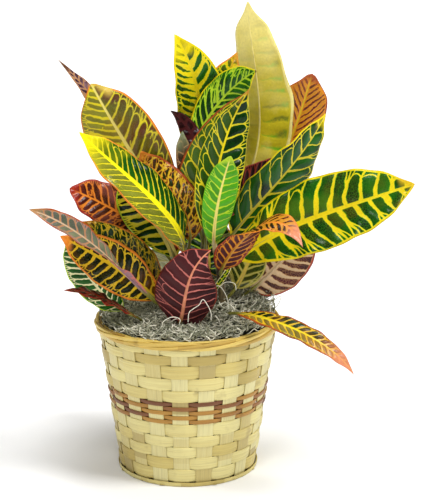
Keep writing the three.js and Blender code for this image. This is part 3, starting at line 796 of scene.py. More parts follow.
def stalk_material(name, stalk, rib):
    """Stalk tone at the foot, turning to the tone of the midrib on the blade's back."""
    material, tree = new_material(name)
    at = place_in_object(tree)
    streaks = tree.noise(tree.vector("MULTIPLY", at, (1.0, 1.0, 0.25)), 420.0, 3.0)
    paint = tree.blend(tree.ramp(tree.attribute("part"), 0.0, 0.2), TONES[stalk], TONES[rib])
    paint = tree.vector("SCALE", paint, scale=tree.ramp(streaks, 0.3, 0.7, 0.75, 1.05))
    surfaced(tree, paint, 0.42, streaks, 0.3, 0.3 * MM, Coat_Weight=0.1)
    return material


# What a leaf has unless it says otherwise. Ripple and quilt are in mm, the fold is in degrees.
USUAL_LEAF = dict(
    widest=0.5, full=1.6, fold=10, curl=-0.1, ripple=1.0, waves=4.0, quilt=0.35,
    stalk_tone="moss olive", shows_under=False, top={}, under={},
)
# A leaf's mid is three points on its midrib: picture across, picture down, depth behind the axis.
# Its face is where the blade looks at its foot and at its tip: turn and tilt, turn and tilt.

LEAVES = [
    dict(name="tall_pale", stem="stem_back", slot="leaf_pale_yellow", foot=246,
         mid=[(257, 150, 40), (256.5, 75, 42), (247.8, 1, 38)], width=70, face=(144, 0, 146, 0), stalk=0.16,
         widest=0.42, full=1.3, fold=20, shows_under=True, ripple=1.8, waves=3.0, quilt=0.3,
         top=dict(spacing=14, slope=0.45, rib_width=2.4, halo_tone="lime", halo=1.5, island="fresh green",
                  deep="moss olive", margin_width=2, tip="lemon", tip_start=0.5),
         under=dict(spacing=13, slope=0.05, bend=1, vein="sulphur", vein_width=1.8, rib="sunlit",
                    rib_width=0.7, halo_tone="sulphur", halo=3.2, island="moss olive", deep="sprout",
                    margin="sunlit", margin_width=2.6, tip="sunlit", tip_start=0.42, flush=0.32,
                    flush_tone="sunlit", net=0.0, forks=0.0, loops=0.0, ragged=1.2, other_side=0.75,
                    other_tone="sulphur")),
    dict(name="gold_upper_left", stem="stem_back", slot="leaf_gold", foot=250,
         mid=[(200, 120, 42), (193, 75, 18), (174.3, 34, 16)], width=56, face=(16, 8, 20, 8), stalk=0.15,
         widest=0.52, fold=22, curl=-0.15,
         top=dict(spacing=13, slope=0.7, vein_width=1.5, rib_width=2.8, halo_tone="fresh green", halo=0.7,
                  deep="leaf green", margin_width=1.8, tip_start=0.84, net_cell=7, forks=0.25, ragged=0.7,
                  other_side=-0.5, other_density=1.6, other_tone="dark olive")),
    dict(name="gold_behind", stem="stem_back", slot="leaf_gold", foot=258,
         mid=[(212, 125, 58), (222, 90, 35), (237.5, 51.5, 40)], width=44, face=(0, 12, 5, 12), stalk=0.26,
         full=1.7, fold=12,
         top=dict(spacing=9, slope=0.7, rib="gold", rib_width=1.6, halo_tone="fresh green",
                  island="leaf green", deep="olive", margin="orange", margin_width=1.4, tip="amber",
                  tip_start=0.84, net=0.4, ragged=0.8)),
    dict(name="netted_green", stem="stem_back", slot="leaf_bright_green", foot=240,
         mid=[(201, 131, 18), (225, 96, 18), (256.5, 71, -1)], width=41, face=(-4, 18, 4, 30), stalk=0.4,
         widest=0.55, fold=14, curl=-0.2, ripple=0.6,
         top=dict(spacing=8.5, slope=1.0, vein="lime", vein_width=0.55, rib="lime", rib_width=1.0,
                  halo_tone="fresh green", halo=0.5, island="leaf green", deep="bottle green", net=0.4,
                  net_cell=4.2, margin_width=0.9, tip="brown", tip_start=0.985, forks=0.5, loops=0.8)),
    dict(name="centre_dark", stem="stem_right", slot="leaf_dark_green", foot=217,
         mid=[(214, 195, -43), (226, 137, -21), (249, 89, -24)], width=52, face=(4, 4, 38, 8), stalk=0.13,
         widest=0.48, fold=24, curl=-0.15, ripple=0.8, stalk_tone="cream",
         top=dict(spacing=13, slope=0.55, vein="sulphur", vein_width=0.55, rib_width=1.5, net=0.15,
                  net_cell=7, margin="sulphur", tip="amber", tip_start=0.95, forks=0.4, loops=0.9,
                  other_side=-0.5, other_tone="sap")),
    dict(name="centre_olive", stem="stem_back", slot="leaf_olive", foot=217,
         mid=[(204, 186, -9), (216, 151, -9), (247, 91, -8)], width=55, face=(-4, 8, 4, 16), stalk=0.2,
         widest=0.36, full=1.5, curl=-0.15,
         top=dict(spacing=14, slope=0.5, vein="sulphur", vein_width=0.55, rib="sulphur", rib_width=1.6,
                  halo_tone="sap", halo=0.9, island="sap", deep="sap", margin="rust", margin_width=1.2,
                  tip="rust", net=0.25, net_cell=9, loops=1.0, forks=0.3)),
    dict(name="new_lime", stem="stem_right", slot="leaf_bright_green", foot=210,
         mid=[(216, 215, -52), (221, 190, -50), (231, 156, -52)], width=31, face=(4, 2, 6, 30), stalk=0.24,
         widest=0.58, full=1.35, curl=0.15, ripple=0.5, quilt=0.15, stalk_tone="cream",
         top=dict(spacing=7, vein="lime", vein_width=0.3, rib="pale yellow", rib_width=1.3,
                  halo_tone="fresh green", halo=0.6, island="fresh green", deep="fresh green", net=0.0,
                  forks=0.2, loops=0.2, margin="sprout", margin_width=0.5, tip="lime", tip_start=0.9,
                  base="cream", base_end=0.08)),
    dict(name="right_upper", stem="stem_right", slot="leaf_dark_green", foot=219,
         mid=[(252, 211, 0), (287, 171, -5), (326, 113, 12)], width=57, face=(20, 14, 64, 16), stalk=0.1,
         widest=0.44, fold=14, curl=-0.2, ripple=1.2,
         top=dict(spacing=15, slope=0.75, vein="sulphur", rib="sulphur", rib_width=1.2, halo=0.5,
                  island="leaf green", net=0.05, net_cell=7, margin_width=1.0, tip_start=0.9, forks=0.3,
                  loops=0.6)),
    dict(name="orange_right", stem="stem_back", slot="leaf_orange", foot=232,
         mid=[(273, 174, 56), (297, 122, 63), (312, 73.5, 60)], width=55, face=(-4, 4, 14, 8), stalk=0.26,
         widest=0.62, full=1.35, fold=12, curl=-0.15,
         top=dict(spacing=7.5, slope=1.1, vein="amber", vein_width=0.6, rib="gold", rib_width=1.5,
                  halo_tone="orange", halo=1.3, island="brown", deep="burgundy", net=0.1, margin="brick",
                  margin_width=1.0, flush=0.45, tip="rust", tip_start=0.9, ragged=0.8, forks=0.5, loops=0.2)),
    dict(name="maroon_behind", stem="stem_back", slot="leaf_maroon", foot=218,
         mid=[(245, 188, 6), (266, 174, 20), (296, 156, 18)], width=36, face=(175, 10, 175, 20), stalk=0.2,
         widest=0.42, full=1.4, shows_under=True,
         under=dict(spacing=7, slope=0.5, vein="brick", vein_width=0.35, rib="burgundy", rib_width=0.9,
                    halo_tone="burgundy", island="maroon", deep="maroon", margin="brick", margin_width=1.0,
                    tip="brick")),
    dict(name="right_big", stem="stem_right", slot="leaf_dark_green", foot=200,
         mid=[(262, 242, -25), (341, 208.5, -42), (415, 184, -52)], width=77, face=(0, 34, 4, 32),
         stalk=0.08, widest=0.52, full=1.5, fold=22, curl=-0.2, ripple=1.6, waves=4.5, quilt=0.5,
         top=dict(spacing=15, slope=0.25, bend=6, vein_width=1.25, rib_width=3.0, halo_tone="fresh green",
                  halo=0.7, deep="leaf green", margin_width=1.9, flush=0.05, tip="gold", tip_start=0.9,
                  forks=0.4, loops=0.3, net=0.15, net_cell=6, ragged=0.6)),
    dict(name="arching_orange", stem="stem_right", slot="leaf_orange", foot=195,
         mid=[(232, 252, -53), (270, 223, -75), (303, 247.5, -101)], width=40, face=(172, 36, 5, 45),
         stalk=0.15, widest=0.44, fold=8, ripple=0.8,
         top=dict(spacing=7, slope=0.8, vein="amber", vein_width=0.9, rib="orange", rib_width=2.0,
                  halo_tone="rust", halo=0.6, island="dark brown", margin="orange", margin_width=1.2,
                  tip="salmon", tip_start=0.78, net_cell=4.5, ragged=0.8),
         under=dict(spacing=7, vein="amber", vein_width=0.35, rib="amber", rib_width=1.2, halo_tone="brick",
                    halo=0.7, island="burgundy", deep="plum", margin="brick", tip="salmon", forks=0.2,
                    loops=0.8)),
    dict(name="burgundy_front", stem="stem_left", slot="leaf_maroon", foot=142,
         mid=[(183.5, 307, -60), (189.5, 280, -66), (211, 250, -60)], width=60, face=(176, 12, 172, 30),
         stalk=0.26, widest=0.4, full=1.3, fold=12, shows_under=True, curl=0.1, ripple=1.2, quilt=0.5,
         top=dict(vein="brick", rib="orange", halo_tone="brick", island="maroon", margin="red", tip="red"),
         under=dict(spacing=8, slope=0.3, bend=3, vein="rose", vein_width=0.3, rib="salmon", rib_width=1.4,
                    halo_tone="burgundy", halo=0.6, island="burgundy", deep="maroon", net=0.1, net_cell=6,
                    margin="brick", margin_width=0.6, tip="brick", tip_start=0.95, forks=0.3, loops=0.3,
                    other_side=0.6, other_density=0.8, other_tone="burgundy")),
    dict(name="olive_left", stem="stem_left", slot="leaf_olive", foot=218,
         mid=[(146, 177, 1), (110, 117.5, -2), (91, 83.5, 0)], width=69, face=(-6, 6, -4, 10), stalk=0.12,
         widest=0.56, full=1.35, fold=12, curl=-0.15, ripple=1.2,
         top=dict(spacing=11.5, vein="sulphur", vein_width=0.6, rib="pale yellow", rib_width=2.2,
                  halo_tone="moss olive", halo=0.9, island="olive", deep="brown", net=0.4, net_cell=7,
                  margin="orange", margin_width=1.3, tip="tan yellow", ragged=0.6, other_side=-0.8,
                  other_density=1.6, other_tone="moss olive", loops=0.9, forks=0.3, flush=0.15,
                  flush_tone="rust")),
    dict(name="thin_tip_left", stem="stem_left", slot="leaf_mauve", foot=221,
         mid=[(123, 136, 18), (89.5, 93.5, 14), (56.5, 58, 19)], width=29, face=(70, 20, 60, 30), stalk=0.3,
         widest=0.45, full=1.9,
         top=dict(spacing=7, vein="tan", vein_width=0.4, rib="tan", rib_width=1.0, halo_tone="mauve",
                  island="mauve", deep="plum", margin="tan", margin_width=0.6, tip="brown", tip_start=0.85)),
    dict(name="yellow_front_left", stem="stem_left", slot="leaf_gold", foot=206,
         mid=[(177, 229.5, -46), (129.3, 178, -57), (79, 132, -70)], width=49, face=(22, 48, 18, 40),
         stalk=0.1, fold=18, curl=-0.2, ripple=1.4, waves=3.5,
         top=dict(spacing=8, slope=0.9, vein="sulphur", vein_width=0.45, rib="lemon", rib_width=3.2,
                  halo=0.6, deep="leaf green", other_side=-0.85, other_tone="moss olive", margin="orange",
                  margin_width=1.1, tip="lemon", tip_start=0.68, net=0.1, forks=0.4)),
    dict(name="orange_edged", stem="stem_left", slot="leaf_orange", foot=216,
         mid=[(184, 214, -29), (163, 185, -16), (141, 151, -21)], width=45, face=(8, 14, 10, 18),
         stalk=0.12, full=1.4, curl=-0.15,
         top=dict(spacing=9, slope=0.7, vein="gold", vein_width=0.35, rib="amber", rib_width=1.2,
                  halo_tone="rust", halo=0.5, net=0.8, net_cell=5.5, margin="rust", margin_width=1.8,
                  flush=0.05, tip="orange", tip_start=0.88, ragged=0.9, island="blackish green",
                  deep="bottle green", forks=0.5, loops=0.8)),
    dict(name="red_left", stem="stem_left", slot="leaf_red", foot=201,
         mid=[(128, 219, 1), (98, 201.5, -11), (69.5, 188.5, -17)], width=43, face=(-6, 30, -6, 34),
         stalk=0.27, widest=0.55, full=1.15, fold=12, ripple=1.4,
         top=dict(spacing=8, vein="orange", vein_width=0.5, rib="orange", rib_width=1.2, halo_tone="rust",
                  halo=0.6, island="dark brown", deep="burgundy", net=0.35, net_cell=4.5, margin="red",
                  margin_width=1.4, flush=0.35, flush_tone="rose", tip="red", tip_start=0.84, ragged=0.7,
                  forks=0.4, loops=0.7)),
    # The brick other tone on the right half is painted shade: that half is turned away and lies in shade.
    dict(name="striped_left", stem="stem_left", slot="leaf_olive", foot=198,
         mid=[(170, 246, -23), (149, 215, -11), (120, 186, -36)], width=48, face=(2, 6, -10, 8), stalk=0.14,
         fold=14, curl=-0.15, ripple=1.2,
         top=dict(spacing=8.5, slope=0.35, vein="sulphur", vein_width=1.15, rib="pale yellow",
                  rib_width=3.0, halo=0.6, other_side=0.8, other_tone="brick", margin="lime",
                  margin_width=1.0, tip="olive", net=0.1, forks=0.2, loops=0.6)),
    dict(name="mottled_left", stem="stem_left", slot="leaf_olive", foot=175,
         mid=[(140, 271, -29), (106, 246, -40), (73, 222, -41)], width=50, face=(-4, 24, -4, 30),
         stalk=0.11, widest=0.45, full=1.3, ripple=1.2,
         top=dict(spacing=8, slope=0.7, vein="gold", vein_width=0.25, rib="amber", rib_width=1.2, halo=0.5,
                  net=0.9, net_cell=4.5, margin="orange", margin_width=1.0, tip="orange", tip_start=0.86,
                  ragged=0.9, flush=0.1, flush_tone="rust")),
    dict(name="long_left", stem="stem_left", slot="leaf_mauve", foot=163,
         mid=[(141, 289, -58), (88, 241, -84), (29, 209.5, -92)], width=25, face=(176, 62, 0, 40),
         stalk=0.2, widest=0.6, full=1.7, curl=0.1,
         top=dict(spacing=9, vein="tan", vein_width=0.35, rib="beige", rib_width=1.2, halo_tone="mauve",
                  halo=0.6, island="dusty green", deep="slate", net_cell=6, margin="rust", tip="tan",
                  tip_start=0.93, loops=0.8, forks=0.3),
         under=dict(vein="rose", rib="mauve", halo_tone="mauve", island="mauve", deep="burgundy",
                    margin="rose", tip="salmon")),
    dict(name="orange_left", stem="stem_left", slot="leaf_orange", foot=159,
         mid=[(128, 276, -47), (95, 255, -56), (60, 236, -60)], width=46, face=(-10, 26, -10, 34),
         stalk=0.14, fold=8, ripple=1.2,
         top=dict(spacing=9, slope=0.35, bend=5, vein="gold", rib="gold", rib_width=2.0, halo_tone="olive",
                  halo=0.4, island="blackish green", net=0.35, net_cell=6, margin="orange",
                  margin_width=1.6, flush=0.14, tip="orange", tip_start=0.86, ragged=0.8, forks=0.3,
                  loops=0.8)),
    dict(name="green_low_left", stem="stem_left", slot="leaf_dark_green", foot=150,
         mid=[(109, 299, -28), (84, 270, -32), (66, 242, -36)], width=36, face=(-18, 12, -18, 12),
         stalk=0.3, full=1.4, fold=8,
         top=dict(spacing=6.5, slope=0.5, vein="cream", vein_width=0.4, rib="cream", rib_width=1.0,
                  halo=0.6, deep="leaf green", margin="lime", margin_width=0.6, forks=0.2, loops=0.3,
                  net=0.1)),
    dict(name="red_edge_on", stem="stem_left", slot="leaf_red", foot=146,
         mid=[(112, 303, -52), (86, 292.5, -58), (63.5, 290.5, -62)], width=24, face=(0, 84, 0, 80),
         stalk=0.3, fold=8,
         top=dict(vein="brick", rib="red", halo_tone="brick", island="burgundy", deep="burgundy",
                  margin="red", tip="red")),
    dict(name="drooping_right", stem="stem_right", slot="leaf_orange", foot=152,
         mid=[(240, 313.5, -54), (298.5, 331, -88), (354, 375, -104)], width=22, face=(8, 60, 14, 46),
         stalk=0.22, full=1.75, curl=-0.15, ripple=0.8, waves=5.0,
         top=dict(spacing=7.5, slope=0.9, vein="gold", vein_width=0.65, rib_width=1.2, halo_tone="olive",
                  halo=0.5, island="blackish green", deep="bottle green", flush=0.2, margin="rust",
                  margin_width=1.2, tip="salmon", tip_start=0.6, net=0.15, ragged=0.6, forks=0.3, loops=0.5,
                  other_side=0.35, other_tone="tan yellow")),
    dict(name="olive_low_right", stem="stem_right", slot="leaf_olive", foot=170,
         mid=[(238, 284, -6), (246, 268, 2), (259, 240, 8)], width=36, face=(-6, 6, -6, 10), stalk=0.2,
         full=1.4, fold=8,
         top=dict(spacing=8, slope=0.8, vein="khaki", vein_width=0.5, rib="tan yellow", rib_width=1.6,
                  halo_tone="moss olive", halo=0.9, deep="dark olive", margin="khaki", margin_width=1.4,
                  tip="khaki")),
    dict(name="beige_low_right", stem="stem_right", slot="leaf_mauve", foot=162,
         mid=[(267, 276, 14), (293, 247, 18), (312, 218, 20)], width=62, face=(178, 6, 178, 12), stalk=0.26,
         widest=0.42, full=1.4, fold=8, shows_under=True, curl=0.1, quilt=0.5,
         top=dict(vein="salmon", rib="cream", halo_tone="brick", island="burgundy", margin="brick",
                  tip="brick"),
         under=dict(spacing=8.5, slope=0.3, bend=4, vein="beige", vein_width=1.0, rib="beige",
                    rib_width=2.2, halo_tone="tan", halo=0.7, island="burgundy", deep="plum", net=0.1,
                    net_cell=7, margin="brick", margin_width=1.6, tip="brick", ragged=0.8, forks=0.2,
                    loops=0.3)),
    dict(name="maroon_tip", stem="stem_back", slot="leaf_maroon", foot=249,
         mid=[(204, 172, -1), (193, 137, 12), (170, 110.5, 2)], width=19, face=(8, 20, 8, 24), stalk=0.3,
         fold=8,
         top=dict(vein="burgundy", rib="burgundy", halo_tone="burgundy", island="maroon", deep="maroon",
                  margin="burgundy", tip="maroon")),
    dict(name="brown_sliver", stem="stem_back", slot="leaf_mauve", foot=198,
         mid=[(191, 182, -6), (184.5, 156, -5), (182.5, 131, 3)], width=20, face=(0, 8, 0, 10), stalk=0.3,
         full=1.2, fold=8,
         top=dict(vein="tan", vein_width=0.3, rib="brown", rib_width=0.6, halo_tone="brown",
                  island="dark brown", deep="brown", margin="tan", margin_width=0.5, tip="dusty green",
                  tip_start=0.7)),
    dict(name="narrow_green", stem="stem_right", slot="leaf_dark_green", foot=161,
         mid=[(211, 305, -12), (217, 286, -18), (223, 262, -35)], width=9, face=(40, 0, 40, 0), stalk=0.28,
         full=1.2, fold=8, ripple=0.2, quilt=0.05,
         top=dict(spacing=6, vein_width=0.2, rib_width=0.5, margin="cream", rib="lime", net=0.2)),
    dict(name="rear_upper_left", stem="stem_back", slot="leaf_dark_green", foot=230,
         mid=[(163, 203, 58), (140, 155, 84), (124, 122, 96)], width=54, face=(170, 30, 175, 40),
         stalk=0.16, full=1.5, ripple=1.4,
         top=dict(vein_width=0.9, rib_width=2.2)),
    dict(name="rear_upper_right", stem="stem_back", slot="leaf_orange", foot=222,
         mid=[(262, 226, 64), (300, 216, 92), (345, 208, 112)], width=56, face=(-175, 50, -175, 40),
         stalk=0.16, full=1.5, ripple=1.4,
         top=dict(spacing=10, vein="gold", vein_width=0.9, rib="gold", rib_width=2.0, halo_tone="rust",
                  island="olive", deep="brown", margin="rust", flush=0.25, tip="orange")),
    dict(name="rear_middle", stem="stem_back", slot="leaf_dark_green", foot=192,
         mid=[(209, 264, 46), (208, 250, 64), (207, 212, 84)], width=54, face=(0, 24, 0, 30), stalk=0.06,
         full=1.0, curl=-0.15, ripple=1.4, quilt=0.5,
         top=dict(vein="lime", vein_width=0.5, rib="gold", rib_width=1.4, island="blackish green",
                  deep="bottle green", margin="amber")),
    dict(name="rear_low_left", stem="stem_back", slot="leaf_red", foot=192,
         mid=[(176, 262, 60), (152, 261, 92), (118, 268, 115)], width=60, face=(-165, 22, -165, 30),
         stalk=0.06, full=1.5, ripple=1.4,
         top=dict(spacing=9, vein="amber", vein_width=0.6, rib="orange", halo_tone="rust",
                  island="dark brown", deep="burgundy", margin="brick", flush=0.2, flush_tone="rose",
                  tip="brick")),
    dict(name="rear_low_right", stem="stem_back", slot="leaf_olive", foot=177,
         mid=[(234, 272, 44), (256, 262, 72), (288, 250, 116)], width=60, face=(176, 50, 165, 50),
         stalk=0.06, full=1.5, ripple=1.4,
         top=dict(spacing=10, vein="gold", vein_width=0.8, rib="gold", rib_width=2.2,
                  halo_tone="moss olive", island="dark olive", deep="bottle green", net=0.9, margin="amber",
                  margin_width=1.4, net_cell=6)),
]


# ------------------------------------------------------------------- lights
SKY_GLOW = 0.37
SKY_GLOSS = 0.08


def area_light(name, place, target, size, power, tint=(1.0, 1.0, 1.0)):
    light = bpy.data.lights.new(name, "AREA")
    light.shape = "DISK"
    light.size = size
    light.energy = power
    light.color = tint
    lamp = bpy.data.objects.new(name, light)
    lamp.location = place
    aim = np.array(target) - np.array(place)
    lamp.rotation_euler = aim_angles(aim)
    bpy.context.scene.collection.objects.link(lamp)


def aim_angles(aim):
    """Turns a lamp, which shines down, toward aim."""
    flat = math.hypot(aim[0], aim[1])
    return (math.atan2(flat, -aim[2]), 0.0, math.atan2(-aim[0], aim[1]))


def make_lights():
    scene = bpy.context.scene
    scene.view_settings.view_transform = "Standard"
    world = bpy.data.worlds.new("studio")
    world.use_nodes = True
    scene.world = world
    tree = Tree(world.node_tree)
    tree.nodes.clear()
    paths = tree.add("ShaderNodeLightPath")
    glow = tree.math("SUBTRACT", SKY_GLOW, tree.times(paths.outputs["Is Glossy Ray"], SKY_GLOW - SKY_GLOSS))
    glow = tree.add("ShaderNodeBackground", {"Color": (1.0, 1.0, 1.0, 1.0), "Strength": glow})
    white = tree.add("ShaderNodeBackground", {"Color": (1.0, 1.0, 1.0, 1.0), "Strength": 1.0})
    both = tree.add("ShaderNodeMixShader", {0: paths.outputs["Is Camera Ray"], 1: glow, 2: white})
    tree.add("ShaderNodeOutputWorld", {"Surface": both})
    sun = bpy.data.lights.new("key", "SUN")
    sun.energy = 1.95
    sun.angle = math.radians(18)
    lamp = bpy.data.objects.new("key", sun)
    lamp.rotation_euler = aim_angles(np.array([-0.5, 0.26, -1.0]))
    scene.collection.objects.link(lamp)
    area_light("front softbox", (-0.25, -1.0, 1.65), (0.03, -0.05, 0.3), 0.5, 7.2)
    area_light("overhead softbox", (0.2, 0.5, 1.6), (0.0, 0.0, 0.3), 0.6, 4.5)


def make_floor():
    mesh = bpy.data.meshes.new("floor")
    reach = 14.0
    corners = [(-reach, -reach, 0), (reach, -reach, 0), (reach, reach, 0), (-reach, reach, 0)]
    mesh.from_pydata(corners, [], [(0, 1, 2, 3)])
    floor = bpy.data.objects.new("floor", mesh)
    floor.location.z = -0.2 * MM
    bpy.context.scene.collection.objects.link(floor)
    material, tree = new_material("glowing white floor")
    cloud = tree.noise(place_in_object(tree), 3.0)
    tint = tree.blend(cloud, (0.93, 0.93, 0.93, 1), (0.95, 0.95, 0.95, 1))
    away = tree.out("ShaderNodeVectorMath", "Value", {"Vector": place_in_object(tree)}, operation="LENGTH")
    # Painted light: the floor glows from 0.09 to 0.2 m off the axis and again from 0.6 to 3 m. This lightens
    # the outer part of the basket's shadow and keeps the far floor white.
    glow = tree.plus(tree.ramp(away, 0.09, 0.2, 0.0, 0.26), tree.ramp(away, 0.6, 3.0, 0.0, 0.3))
    inputs = {"Base Color": tint, "Roughness": 0.9, "Emission Strength": glow}
    shader = tree.add("ShaderNodeBsdfPrincipled", inputs)
    shader.inputs["Emission Color"].default_value = (1.0, 1.0, 1.0, 1.0)
    shader.inputs["Specular IOR Level"].default_value = 0.1
    tree.add("ShaderNodeOutputMaterial", {"Surface": shader.outputs["BSDF"]})
    mesh.materials.append(material)


# ------------------------------------------------------------------- basket
BASKET_HEIGHT = 150 * MM
WALL_FOOT_RADIUS = 65.5 * MM
WALL_TOP_RADIUS = 86.2 * MM
STAKES = 20
FIRST_STAKE = math.radians(-77.2)
STAKE_WIDTH = 15.5 * MM
STRIP = 0.8 * MM
WEAVE_SWING = 1.15 * MM
# Bottom and top of each woven strip, in mm.
LOWER_ROWS = [(4.6, 17.2), (17.7, 29.4), (29.9, 40.8), (41.3, 51.9), (52.4, 64.9)]
UPPER_ROWS = [(88.4, 99.6), (100.1, 111.9), (112.4, 125.3), (125.8, 135.2), (135.7, 141.3)]
ROW_SPREAD = 0.2
CANE_ROWS = 5
CANE_FOOT = 65.5
CANE_PITCH = 4.55
CANE_HEIGHT = 4.1
CANE_SEED = 40
RIM_PLIES = ("first", "second", "third")
RIM_TWISTS = 4.0
# name, node, slot, then in mm: bottom, top, offset from the wall's middle, thickness
HOOPS = [
    *[(f"rim_cane_{ply}", "rim_hoop_outer", "bamboo_gold", 143.7, 147.3, 2.9, 1.9) for ply in RIM_PLIES],
    ("rim_cane_top", "rim_hoop_outer", "bamboo_gold", 148.1, 150.3, 1.0, 2.6),
    ("rim_cane_inner", "rim_hoop_inner", "bamboo_gold", 142.0, 150.0, -2.0, 2.0),
    ("foot_cane", "base_hoop", "bamboo_straw", 0.1, 4.2, 2.45, 1.1),
]
HOOP_SEED = 60
FLOOR_MIDDLE = 1.2 * MM
FLOOR_RADIUS = WALL_FOOT_RADIUS - 0.2 * MM
FLOOR_LANES = 11


def section_of(tree, turn, roundness):
    """Rounded-bar section: across and through, both from -1 to 1."""
    sides = []
    for wave in ("COSINE", "SINE"):
        value = tree.math(wave, turn)
        size = tree.math("POWER", tree.absolute(value), roundness)
        sides.append(tree.times(tree.math("SIGN", value), size))
    return sides


def grid_counters(tree, count_along, count_round):
    """A grid with its place along and its turn round the section, both on every point."""
    lines = tree.plus(count_round, 1.0)
    inputs = {"Vertices X": count_along, "Vertices Y": lines}
    sheet = tree.out("GeometryNodeMeshGrid", "Mesh", inputs)
    index = index_of(tree)
    station = tree.math("FLOOR", tree.over(index, lines))
    column = tree.minus(index, tree.times(station, lines))
    sheet = stored(tree, sheet, "station", station)
    return stored(tree, sheet, "turn", tree.over(tree.times(column, TAU), count_round))


def wall_radius(tree, height):
    inputs = {"Value": height, "From Min": 0.0, "From Max": tree.asked("Wall Height"),
              "To Min": tree.asked("Foot Radius"), "To Max": tree.asked("Top Radius")}
    return tree.out("ShaderNodeMapRange", "Result", inputs, clamp=False)


WALL_INPUTS = {"Foot Radius": WALL_FOOT_RADIUS, "Top Radius": WALL_TOP_RADIUS, "Wall Height": BASKET_HEIGHT}


def random_value(tree, low, high, number, seed):
    inputs = {"Min": low, "Max": high, "ID": number, "Seed": seed}
    return tree.out("FunctionNodeRandomValue", "Value", inputs, data_type="FLOAT")


def off_middle(tree, at, scale, detail=2.0):
    """Noise shifted to lie round 0, from -0.5 to 0.5."""
    return tree.minus(tree.noise(at, scale, detail), 0.5)


def crowned(tree, a):
    """How far a strip's middle stands out between its two edges."""
    return tree.times(tree.minus(1.0, tree.times(a, a)), tree.asked("Crown"))


def end_strips(tree, sheet, place, across, tone, strip, turned=False):
    """Stores what the bamboo's paint reads, and puts the strips in their place."""
    sheet = stored(tree, sheet, "across", across)
    sheet = stored(tree, sheet, "tone", tone, "FLOAT", "FACE")
    sheet = placed(tree, stored(tree, sheet, "strip", strip), place)
    if turned:
        sheet = flipped(tree, sheet)
    end_shape(tree, sewn(tree, sheet), [(tree.asked("Bamboo"), None)])
    return tree


def ring_tree():
    """A strip bent into a hoop, woven in and out of the stakes where Swing is not 0."""
    tree = shape_tree("woven ring", {
        "Around": 320,
        "Section": 12,
        "Bottom": 0.0,
        "Top": 0.01,
        "Parity": 0,
        "Stakes": STAKES,
        "First Stake": FIRST_STAKE,
        "Swing": WEAVE_SWING,
        "Offset": 0.0,
        "Thickness": STRIP,
        "Crown": 0.35 * MM,
        "Wobble": 0.35 * MM,
        "Roundness": 0.3,
        "Twists": 0.0,
        "Twist Start": 0.0,
        "Twist Rise": 0.0,
        "Twist Depth": 0.0,
        "Seed": 0,
        "Bamboo": "Material",
        **WALL_INPUTS,
    })
    around, seed = tree.asked("Around"), tree.asked("Seed")
    bottom, top = tree.asked("Bottom"), tree.asked("Top")
    sheet = grid_counters(tree, tree.plus(around, 1.0), tree.asked("Section"))
    angle = tree.plus(tree.over(tree.times(named(tree, "station"), TAU), around), math.pi / 2)
    cosine, sine = tree.cosine(angle), tree.sine(angle)
    a, b = section_of(tree, named(tree, "turn"), tree.asked("Roundness"))
    pitch = tree.over(TAU, tree.asked("Stakes"))
    beat = tree.plus(tree.over(tree.minus(angle, tree.asked("First Stake")), pitch), tree.asked("Parity"))
    wave = tree.cosine(tree.times(beat, math.pi))
    flat_wave = tree.minus(tree.times(wave, 1.5), tree.times(wave, wave, wave, 0.5))
    circle = tree.joined(tree.times(cosine, 3.0), tree.times(sine, 3.0), tree.times(seed, 1.37))
    drift = tree.times(off_middle(tree, circle, 1.6), tree.asked("Wobble"), 2.0)
    rise = tree.times(tree.plus(a, 1.0), 0.5)
    twist = tree.plus(tree.times(angle, tree.asked("Twists")), tree.asked("Twist Start"))
    lift = tree.times(tree.sine(twist), tree.asked("Twist Rise"))
    level = tree.plus(tree.times(tree.minus(1.0, rise), bottom), tree.times(rise, top))
    height = tree.plus(level, drift, lift)
    outward = tree.times(tree.cosine(twist), tree.asked("Twist Depth"))
    edge = tree.times(off_middle(tree, circle, 5.0), 0.5 * MM)
    woven = tree.times(flat_wave, tree.asked("Swing"))
    through = tree.times(b, tree.asked("Thickness"), -0.5)
    radius = tree.plus(wall_radius(tree, height), tree.asked("Offset"), woven, crowned(tree, a), edge,
                       outward, through)
    place = tree.joined(tree.times(radius, cosine), tree.times(radius, sine), height)
    cell = tree.math("FLOOR", tree.plus(tree.times(beat, 0.5), 0.5))
    tone = random_value(tree, 0.0, 1.0, cell, seed)
    return end_strips(tree, sheet, place, tree.times(a, tree.minus(top, bottom), 0.5), tone, seed)


def bar_ends(tree, count):
    """Rise from 0 to 1 along a bar, and a 0 at its two end stations, which closes it."""
    station = named(tree, "station")
    last = tree.minus(count, 1.0)
    rise = tree.over(tree.minus(station, 1.0), tree.minus(count, 3.0), clamp=True)
    inside = tree.times(tree.above(station, 0.5), tree.below(station, tree.minus(last, 0.5)))
    return rise, inside


def lanes_of(tree, bar, count, label):
    """Repeats a bar count times; every copy carries its number."""
    points = tree.out("GeometryNodeMeshLine", "Mesh", {"Count": count, "Offset": (0.0, 0.0, 0.0)})
    return copies_on(tree, stored(tree, points, label, index_of(tree)), bar)


